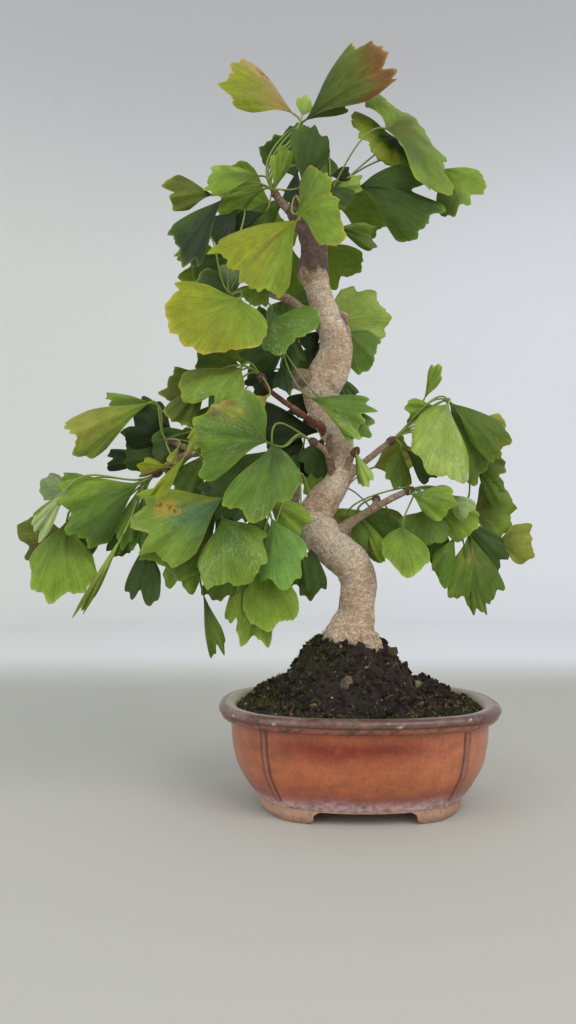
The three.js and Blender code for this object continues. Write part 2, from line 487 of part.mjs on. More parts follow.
const ROOTS = Object.keys(LIMBS).filter(name => name.startsWith('root'))
const TRUNK_SIDES = 10
const LIMB_SIDES = 5
const TRUNK_BUMPS = 0.07
const BURIED_STATIONS = 6

function makeWood() {
  const limbs = Object.values(LIMBS).map(stations => tube(stations, LIMB_SIDES))
  return Manifold.union([tube(TRUNK, TRUNK_SIDES, 0, TRUNK_BUMPS), ...limbs])
}

// The room that the foot of the trunk and its roots take in the soil.
function rootRoom() {
  const foot = tube(TRUNK.slice(0, BURIED_STATIONS), TRUNK_SIDES, TOUCH, TRUNK_BUMPS)
  return Manifold.union([foot, ...ROOTS.map(name => tube(LIMBS[name], LIMB_SIDES, TOUCH))])
}

// ---------------------------------------------------------------- soil

function soilHeight(x, y, share) {
  let height = SOIL_EDGE_Z + SOIL_CROWN * (1 - share * share)
  for (const heap of HEAPS) {
    const distance = Math.hypot(x - heap.x, (y - heap.y) * heap.depthStretch)
    height += heap.height * Math.exp(-((distance / heap.reach) ** heap.power)) * (1 - share ** 12)
  }
  return height
}

function makeSoil() {
  const inset = ([width, depth, z]) => [width - TOUCH - 0.1, depth - TOUCH - 0.1, z]
  const wall = [...POT_INSIDE].reverse().map(size => potOutline(inset(size)))
  wall[0].forEach(point => point.setZ(POT_FLOOR_Z + TOUCH))
  const edge = wall[wall.length - 1]
  const top = SOIL_RINGS.map((share, ring) => edge.map((point, i) => {
    const x = mix(MOUND.x, point.x, share)
    const y = mix(MOUND.y, point.y, share)
    const rough = ring === 0 ? 0 : SOIL_ROUGHNESS * (draw(ring * 97 + i) - 0.5)
    return new THREE.Vector3(x, y, soilHeight(x, y, share) + rough)
  }))
  const peak = new THREE.Vector3(MOUND.x, MOUND.y, soilHeight(MOUND.x, MOUND.y, 0))
  const heap = loft(new THREE.Vector3(0, 0, POT_FLOOR_Z + TOUCH), [...wall, ...top], peak)
  const pocket = SCREEN_SIZE + 2 * TOUCH
  const pockets = [-DRAIN_X, DRAIN_X].map(x => block(pocket, pocket, 2 * (SCREEN_THICK + 2 * TOUCH), x, 0,
    POT_FLOOR_Z))
  return heap.subtract(rootRoom()).subtract(Manifold.union(pockets))
}

// ---------------------------------------------------------------- leaves

// The flat fan that a blade is bent from, with the bends as functions of s, from -1 at the first corner
// to 1 at the second, and t, from 0 at the stalk to 1 at the margin.
function bladeSurface([stalkEnd, first, second, bend], seed) {
  const { cup = 0, arch = 0, reach = 0, split = 0 } = bend
  const base = vec(stalkEnd)
  const toFirst = vec(first).sub(base)
  const toSecond = vec(second).sub(base)
  const lengths = [toFirst.length(), toSecond.length()]
  toFirst.normalize()
  toSecond.normalize()
  const half = FAN_SPREAD * Math.acos(toFirst.dot(toSecond)) / 2
  const axis = toFirst.clone().add(toSecond).normalize()
  const side = toSecond.clone().sub(toFirst).normalize()
  const face = new THREE.Vector3().crossVectors(side, axis)
  if (face.y > 0) face.negate()
  const phase = [1, 2, 3, 4].map(k => 2 * Math.PI * draw(seed * 7 + k))
  const size = (lengths[0] + lengths[1]) / 2
  const ripple = Math.min(RIPPLE, size * RIPPLE_SHARE)
  const outline = s => mix(lengths[0], lengths[1], (s + 1) / 2) * (1 + reach * (1 - s * s))
    * (1 - CORNER_ROUND * s ** 8 - split * Math.exp(-((s / SPLIT_WIDTH) ** 2))
      + LOBE_DEPTH * (Math.sin(7 * s + phase[0]) + 0.6 * Math.sin(13 * s + phase[1])))
  const surface = (s, t) => {
    const angle = s * half * mix(EDGE_WAIST, 1, Math.sin(Math.PI / 2 * Math.min(1, 1.15 * t)))
    const radius = outline(s) * t
    const lift = cup * (1 - s * s) * t ** 1.3 + arch * Math.sin(Math.PI * t) * (1 - 0.4 * s * s)
      + ripple * t * t * (0.6 * Math.sin(6 * s + phase[2]) + 0.4 * Math.sin(11 * s + phase[3]))
    return base.clone().addScaledVector(axis, radius * Math.cos(angle))
      .addScaledVector(side, radius * Math.sin(angle)).addScaledVector(face, lift)
  }
  return { base, axis, side, size, surface }
}

// The middle surface of a blade as a net: its stalk end, a row at the waist and a finer row at the margin.
function bladeNet({ base, size, surface }) {
  const columns = size > LARGE_BLADE ? 5 : size > MIDDLE_BLADE ? 4 : size > SMALL_BLADE ? 3 : 2
  const points = [base]
  for (let i = 0; i <= columns; i++) points.push(surface(2 * i / columns - 1, WAIST_ROW))
  for (let i = 0; i <= 2 * columns; i++) points.push(surface(i / columns - 1, 1))
  const waist = i => 1 + i
  const margin = i => 2 + columns + i
  const skin = []
  for (let i = 0; i < columns; i++) {
    skin.push([0, waist(i), waist(i + 1)])
    skin.push([waist(i), margin(2 * i), margin(2 * i + 1)])
    skin.push([waist(i), margin(2 * i + 1), waist(i + 1)])
    skin.push([waist(i + 1), margin(2 * i + 1), margin(2 * i + 2)])
  }
  const rim = [waist(0)]
  for (let i = 0; i <= 2 * columns; i++) rim.push(margin(i))
  rim.push(waist(columns))
  return { points, skin, rim }
}

function netNormals(points, skin) {
  const normals = points.map(() => new THREE.Vector3())
  for (const [a, b, c] of skin) {
    const normal = points[b].clone().sub(points[a]).cross(points[c].clone().sub(points[a]))
    for (const corner of [a, b, c]) normals[corner].add(normal)
  }
  return normals.map(normal => normal.normalize())
}

// The four-sided rings of a stalk, which leaves the bud along the spur and meets the blade along its axis.
function stalkRings(bud, outward, { base, axis, side }) {
  const pull = bud.distanceTo(base) * STALK_PULL
  const path = new THREE.CubicBezierCurve3(bud, bud.clone().addScaledVector(outward, pull),
    base.clone().addScaledVector(axis, -pull), base)
  const rings = []
  let across = side
  let heading = axis
  for (let step = STALK_STEPS; step >= 0; step--) {
    const tangent = step === STALK_STEPS ? axis : path.getTangent(step / STALK_STEPS)
    across = across.clone().applyQuaternion(new THREE.Quaternion().setFromUnitVectors(heading, tangent))
    heading = tangent
    const up = tangent.clone().cross(across)
    const centre = path.getPoint(step / STALK_STEPS)
    rings.unshift([up, across.clone().negate(), up.clone().negate(), across]
      .map(way => centre.clone().addScaledVector(way, STALK_RADIUS)))
  }
  return rings
}

// A leaf in one closed piece: the stalk's last ring opens into the two faces of the blade, which are
// split into triangles alike.
function leafSolid(bud, outward, blade) {
  const { points, skin, rim } = bladeNet(blade)
  const normals = netNormals(points, skin)
  const rings = stalkRings(bud, outward, blade)
  const count = points.length
  const face = way => points.map((point, i) => point.clone()
    .addScaledVector(normals[i], way * BLADE_THICK / 2))
  const vertices = [...face(1), ...face(-1), ...rings.flat(), bud]
  const ringAt = (ring, i) => 2 * count + 4 * ring + (i % 4)
  const [top, left, bottom, right] = [0, 1, 2, 3].map(i => ringAt(STALK_STEPS, i))
  vertices[0] = vertices[top]
  vertices[count] = vertices[bottom]
  const faces = skin.flatMap(([a, b, c]) => [a, b, c, c + count, b + count, a + count])
  for (let i = 0; i < rim.length - 1; i++) {
    const [here, next] = [rim[i], rim[i + 1]]
    faces.push(here, here + count, next + count, here, next + count, next)
  }
  const [start, end] = [rim[0], rim[rim.length - 1]]
  faces.push(top, left, start, left, start + count, start, left, bottom, start + count)
  faces.push(end, end + count, right, end + count, bottom, right, end, right, top)
  for (let i = 0; i < 4; i++) {
    faces.push(vertices.length - 1, ringAt(0, i + 1), ringAt(0, i))
    for (let ring = 0; ring < STALK_STEPS; ring++) {
      faces.push(ringAt(ring, i), ringAt(ring, i + 1), ringAt(ring + 1, i + 1))
      faces.push(ringAt(ring, i), ringAt(ring + 1, i + 1), ringAt(ring + 1, i))
    }
  }
  const geometry = new THREE.BufferGeometry()
  geometry.setAttribute('position', new THREE.Float32BufferAttribute(vertices.flatMap(p => p.toArray()), 3))
  geometry.setIndex(faces)
  return toManifold(geometry)
}

function spurEnd(limbName) {
  const stations = LIMBS[limbName]
  const tip = vec(stations[stations.length - 1])
  const outward = tip.clone().sub(vec(stations[stations.length - 2])).normalize()
  return { tip, outward }
}

function makeSpray(limbName, blades, seed) {
  const { tip, outward } = spurEnd(limbName)
  const bud = tube(BUD.map(([distance, radius]) => {
    const centre = tip.clone().addScaledVector(outward, distance + TOUCH)
    return [centre.x, centre.y, centre.z, radius]
  }), LIMB_SIDES)
  const heart = tip.clone().addScaledVector(outward, BUD[1][0] + TOUCH)
  const pieces = [bud]
  blades.forEach((row, i) => {
    const blade = bladeSurface(row, seed + i)
    pieces.push(leafSolid(heart, outward, blade))
  })
  return Manifold.union(pieces)
}

// The rows of a rosette, in the same form as those set by hand.
function rosetteRows({ limb, blades, stalk, length, seed }) {
  const { tip, outward } = spurEnd(limb)
  const level = new THREE.Vector3(0, 0, 1).cross(outward).normalize()
  const rise = outward.clone().cross(level)
  const rows = []
  for (let i = 0; i < blades; i++) {
    const turn = 2 * Math.PI * (i + ROSETTE.turnDraw * draw(seed + i)) / blades
    const radial = level.clone().multiplyScalar(Math.cos(turn)).addScaledVector(rise, Math.sin(turn))
    const reach = stalk * mix(...ROSETTE.stalkDraw, draw(seed + 10 + i))
    const size = length * mix(...ROSETTE.lengthDraw, draw(seed + 20 + i))
    const base = tip.clone().addScaledVector(outward, reach * ROSETTE.forward)
      .addScaledVector(radial, reach * ROSETTE.sideways)
    const axis = radial.clone().addScaledVector(outward, ROSETTE.lean)
    axis.z -= ROSETTE.hang
    axis.normalize()
    const side = outward.clone().cross(axis).normalize()
    const half = mix(...ROSETTE.halfAngle, draw(seed + 30 + i))
    const corner = way => base.clone().addScaledVector(axis, size * Math.cos(half))
      .addScaledVector(side, way * size * Math.sin(half)).toArray()
    rows.push([base.toArray(), corner(-1), corner(1),
      { ...ROSETTE, split: ROSETTE.split * draw(seed + 40 + i) }])
  }
  return rows
}

// ---------------------------------------------------------------- assembly

const plant = new THREE.Group()
plant.name = 'ginkgo_bonsai'

function place(name, solid, material) {
  const mesh = new THREE.Mesh(fromManifold(solid), material)
  mesh.name = name
  plant.add(mesh)
}

place('pot', makePot(), MATERIALS.glaze)
place('drain_screen_left', makeScreen(-DRAIN_X), MATERIALS.screen)
place('drain_screen_right', makeScreen(DRAIN_X), MATERIALS.screen)
place('soil', makeSoil(), MATERIALS.soil)
place('wood', makeWood(), MATERIALS.bark)
SPRAYS.forEach(({ name, limb, blades }, i) => place(name, makeSpray(limb, blades, 100 * i), MATERIALS.leaf))
ROSETTES.forEach(rosette => place(rosette.name,
  makeSpray(rosette.limb, rosetteRows(rosette), 100 * rosette.seed), MATERIALS.leaf))

// The origin is under the middle of the whole plant's box, on the surface that it stands on.
const box = new THREE.Box3().setFromObject(plant)
plant.position.set(-(box.min.x + box.max.x) / 2, -(box.min.y + box.max.y) / 2, -box.min.z)
plant.updateMatrixWorld(true)

export default plant
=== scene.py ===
"""The looks of a ginkgo bonsai in its glazed pot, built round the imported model.

Lengths are millimetres in the plant's own frame: the pot's middle is at x = y = 0, the table at z = 0
and -Y is the front. place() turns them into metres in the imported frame. Every draw is seeded, so each
run gives the same plant.
"""
from math import atan2, cos, hypot, pi, radians, sin, tan

import bpy
import bmesh
import numpy as np
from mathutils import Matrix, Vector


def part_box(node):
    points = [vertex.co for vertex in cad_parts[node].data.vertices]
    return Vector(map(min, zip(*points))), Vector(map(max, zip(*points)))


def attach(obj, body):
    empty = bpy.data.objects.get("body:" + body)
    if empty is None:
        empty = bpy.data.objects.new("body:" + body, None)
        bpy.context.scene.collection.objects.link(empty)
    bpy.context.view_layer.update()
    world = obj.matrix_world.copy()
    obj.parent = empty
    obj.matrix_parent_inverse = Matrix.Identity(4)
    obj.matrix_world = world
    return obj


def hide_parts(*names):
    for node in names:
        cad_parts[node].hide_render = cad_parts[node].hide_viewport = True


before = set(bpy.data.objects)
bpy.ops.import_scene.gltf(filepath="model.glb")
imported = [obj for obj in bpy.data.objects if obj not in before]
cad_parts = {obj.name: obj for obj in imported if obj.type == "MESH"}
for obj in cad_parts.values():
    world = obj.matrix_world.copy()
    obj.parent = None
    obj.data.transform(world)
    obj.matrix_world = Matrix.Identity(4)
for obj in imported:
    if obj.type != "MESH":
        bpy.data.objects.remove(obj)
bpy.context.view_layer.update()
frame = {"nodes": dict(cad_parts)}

POT_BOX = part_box("pot")
MM = 0.001
POT_MIDDLE = np.array([(POT_BOX[0][i] + POT_BOX[1][i]) / 2 for i in (0, 1)] + [0.0])


def place(points):
    """Millimetres in the plant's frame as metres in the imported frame."""
    return np.asarray(points, float) * MM + POT_MIDDLE


# ---------------------------------------------------------------- driving dimensions, as in the solids

POT_BASE_Z = 8.5
POT_FLOOR_Z = 16
CORNER_X, CORNER_Y = 0.73, 0.80      # where the ribs stand, as shares of the half width and the half depth
LONG_BOW, SHORT_BOW = 2.2, 2.6       # how square the long and the short lobes of the plan are
GROOVE, GROOVE_STATION, GROOVE_WIDTH = 0.016, 0.974, 0.009
FOOT_INSIDE = (55, 41)
FOOT_GAP_FRONT, FOOT_GAP_END = (37, 29), (23, 16)    # half widths of the arches, at the table and the top
DRAIN_X, DRAIN_RADIUS, DRAIN_SIDES = 36, 7, 32

SOIL_EDGE_Z, SOIL_CROWN = 66.5, 11
MOUND = (-6, 2)
HEAPS = [      # x, y, height, reach, power, stretch along y
    (*MOUND, 38.5, 41, 4.2, 1.1),
    (15, -6, -6, 15, 2, 1),
    (50, 34, 9, 24, 2.5, 1.6),
    (-58, 32, 9, 22, 2.5, 1.4),
]

EDGE_WAIST, CORNER_ROUND, SPLIT_WIDTH = 0.62, 0.3, 0.13
FAN_SPREAD = 1.25           # how much wider than its two corners a fan opens, since they are rounded
LOBE_DEPTH, RIPPLE, RIPPLE_SHARE = 0.045, 1.6, 0.05
STALK_PULL, TOUCH = 0.38, 0.35
BUD_HEART, BUD_LENGTH = 2.4, 6

# The front view of 576 columns and 1024 rows in which many blades are placed, as in the solids.
EYE = (-49, -543.5, 170)
VIEW_MIDDLE, VIEW_FOCUS, VIEW_TILT = (288, 512), 765, radians(3.3)

# Centre points and radii: x, y, z, radius.
TRUNK = [
    (-4, 0, 82, 15), (-5, 0, 96, 22), (-5, 0, 106, 22.5), (-4, 0, 114, 20), (-3, 0, 121, 16),
    (-1, 0, 128, 13.2), (0, 0, 140, 12.4), (1, 1, 153, 13), (-5, 1, 165, 13.4), (-17, 0, 176, 13.4),
    (-27, -1, 187, 14.2), (-30, -2, 198, 12.8), (-24, -3, 209, 11.2), (-16, -4, 220, 9.4),
    (-12, -3, 231, 8.2), (-11, -1, 243, 9.6), (-14, 0, 256, 10.2), (-21, 1, 268, 10.2),
    (-25, 1, 280, 11.4), (-25, 0, 291, 14), (-19, -1, 303, 14), (-15, -1, 316, 12), (-15, -1, 329, 11.2),
    (-20, -1, 342, 9.8), (-25, 0, 355, 8.8), (-28, 0, 367, 9.3), (-31, 0, 377, 11.6), (-30, 0, 386, 9.8),
    (-31, 0, 398, 9.2), (-37, -1, 410, 7), (-46, -1, 420, 5),
]
LIMBS = {
    "root_front": [(-6, -8, 102, 9), (-8, -24, 93, 6), (-12, -36, 82, 3.5)],
    "root_left": [(-14, 0, 108, 9), (-28, -2, 104, 6.5), (-40, -4, 93, 4), (-48, -5, 84, 2.5)],
    "root_right": [(6, 0, 108, 8), (18, 2, 100, 5.5), (30, 3, 88, 3)],
    "root_back": [(-4, 8, 106, 9), (-2, 24, 99, 6), (2, 36, 88, 3)],
    "pruned_stump": [(-15, -1, 324, 9.5), (-12, -2, 336, 6.4), (-10, -3, 345, 4.4)],
    "crown_top": [(-44, -1, 418, 5.2), (-52, -3, 424, 4.2), (-57, -4, 430, 3.2)],
    "crown_front": [(-36, -2, 408, 5.5), (-40, -9, 415, 4), (-42, -14, 420, 3.1)],
    "crown_right": [(-36, 1, 407, 5), (-30, 3, 417, 3.8), (-25, 4, 425, 3.1)],
    "crown_bud": [(-41, 0, 414, 4.6), (-40, 1, 425, 3.2), (-39, 1, 435, 1.6)],
    "crown_back": [(-38, 1, 410, 5), (-37, 14, 418, 3.8), (-36, 25, 425, 3.1)],
    "upper_left": [(-22, 0, 336, 8), (-37, -4, 345, 5), (-49, -8, 353, 4), (-63, -13, 358, 3.5),
                   (-75, -18, 357, 3.2), (-82, -22, 353, 3)],
    "upper_left_back": [(-49, -8, 353, 3.6), (-58, 10, 361, 3.3), (-66, 25, 369, 3)],
    "stub": [(-25, -1, 292, 10), (-35, -5, 296, 6.8), (-43, -8, 298, 5.4)],
    "stub_spur": [(-41, -8, 298, 4), (-46, -13, 302, 3.4), (-49, -17, 307, 3)],
    "trunk_back": [(-15, 3, 322, 8), (-20, 18, 330, 4.4), (-24, 28, 338, 3.1)],
    "back_left": [(-25, 4, 286, 9), (-38, 28, 297, 4.6), (-53, 48, 306, 3.6), (-64, 60, 312, 3)],
    "long_shoot": [(-19, -1, 258, 6), (-31, -10, 264, 3.3), (-42, -19, 270, 2.9), (-54, -26, 277, 2.6),
                   (-62, -30, 283, 2.5), (-66, -32, 289, 2.4)],
    "mid_back": [(-16, 4, 258, 7), (-26, 16, 264, 4), (-33, 24, 270, 3.1)],
    "front_shoot": [(-16, -6, 222, 5), (-19, -10, 232, 3.8), (-21, -13, 243, 3.5), (-20, -14, 255, 2.4)],
    "front_spur": [(-20, -12, 240, 3.4), (-25, -15, 245, 3.1), (-30, -17, 248, 3)],
    "upper_right": [(-11, -2, 223, 7), (3, 2, 235, 3.8), (14, 4, 244, 3.1), (24, 5, 252, 3.1)],
    "trunk_bud": [(-8, -7, 233, 4), (-5, -12, 238, 2.8), (-3, -15, 241, 2.6)],
    "lower_left": [(-32, -2, 195, 9), (-44, -8, 203, 5.6), (-56, -14, 210, 4.6), (-72, -20, 220, 4.1),
                   (-92, -26, 232, 3.7), (-112, -30, 241, 3.4), (-126, -33, 246, 3.1)],
    "left_end": [(-110, -30, 240, 3.4), (-123, -36, 235, 3.3), (-134, -40, 226, 3.1)],
    "low_spur": [(-72, -20, 220, 3.8), (-80, -26, 215, 3.4), (-86, -31, 212, 3.1)],
    "grey_stub": [(-45, -8, 203, 4.6), (-43, -11, 213, 3.7), (-42, -12, 221, 3.1)],
    "back_low": [(-27, 4, 200, 9), (-18, 32, 212, 4.6), (-6, 56, 222, 3.1)],
    "back_low_left": [(-32, 4, 198, 8), (-54, 28, 212, 4.4), (-80, 46, 226, 3.6), (-98, 54, 236, 3.1)],
    "lower_right": [(-16, -1, 184, 8), (-4, -3, 194, 5), (12, -6, 204, 3.9), (25, -8, 211, 3.4),
                    (34, -9, 215, 3.2)],
    "right_inner": [(12, -6, 204, 3.8), (14, 4, 208, 3.4), (15, 11, 211, 3)],
    "right_back": [(-6, 4, 168, 8), (18, 26, 182, 4.8), (44, 34, 193, 4), (66, 31, 201, 3.5),
                   (78, 26, 206, 3.1)],
}


# ---------------------------------------------------------------- colours, named as they look on the plant

# Blade tones are as the blades look, so the bright yellow-greens such as lime partly paint the glow of
# light shining through backlit blades.
COLOURS = {
    "lime": "#838d1a", "fresh": "#92a94a", "pear": "#888e36", "leaf": "#76902c", "mid": "#5c7a29",
    "olive": "#5c6620", "moss": "#566c22", "deep": "#3f5620", "dark": "#2b3a1c", "blue": "#547540",
    "jade": "#729a44", "grey": "#7c8e5c", "gold": "#b09c38", "tan": "#b0925c", "rust": "#744a22",
    "brown": "#5c3c2c", "pale": "#a8ba78", "pink": "#c09a80", "white": "#c2cab4", "stalk": "#88984e",
    "bud": "#6a4a38", "bud_tip": "#a08060",
}


def linear(text):
    """The linear red, green and blue of a colour written as #rrggbb."""
    shares = np.array([int(text[i:i + 2], 16) / 255 for i in (1, 3, 5)])
    return np.where(shares <= 0.04045, shares / 12.92, ((shares + 0.055) / 1.055) ** 2.4)


def colour(tone):
    """The linear colour of a name in COLOURS or of a #rrggbb."""
    return linear(COLOURS.get(tone, tone))


# ---------------------------------------------------------------- leaves, blade by blade

def leaf(base, first, second, tone, cup=0, arch=0, reach=0, split=0, **marks):
    """A blade: the end of its stalk, the outer corners of its fan, its bends as in the solids, its colours.

    marks: rim, tip, heart, left and right name the colour of the margin, the outer part, the part by the
    stalk and the sides of the first and second corner, the sides' colours partly the blade's own and partly
    painted shade and light of a fold; bloom is a share of whitish film; spots are (s, t, radius, colour)
    and streaks (s, colour), with s from -1 to 1 across the fan and t from 0 to 1 outwards.
    """
    return dict(base=base, first=first, second=second, tone=tone, cup=cup, arch=arch, reach=reach,
                split=split, marks=marks)


def sight_place(column, row, y):
    """What the front view shows at a column and row, at the depth y, to the whole millimetre."""
    away = y - EYE[1]
    up = away * tan(atan2(VIEW_MIDDLE[1] - row, VIEW_FOCUS) + VIEW_TILT)
    reach = away * cos(VIEW_TILT) + up * sin(VIEW_TILT)
    right = (column - VIEW_MIDDLE[0]) * reach / VIEW_FOCUS
    return round(EYE[0] + right), y, round(EYE[2] + up)


def sighted(base, first, second, *look, **marks):
    """A blade whose three places are given by their column, row and depth in the front view."""
    return leaf(*(sight_place(*corner) for corner in (base, first, second)), *look, **marks)


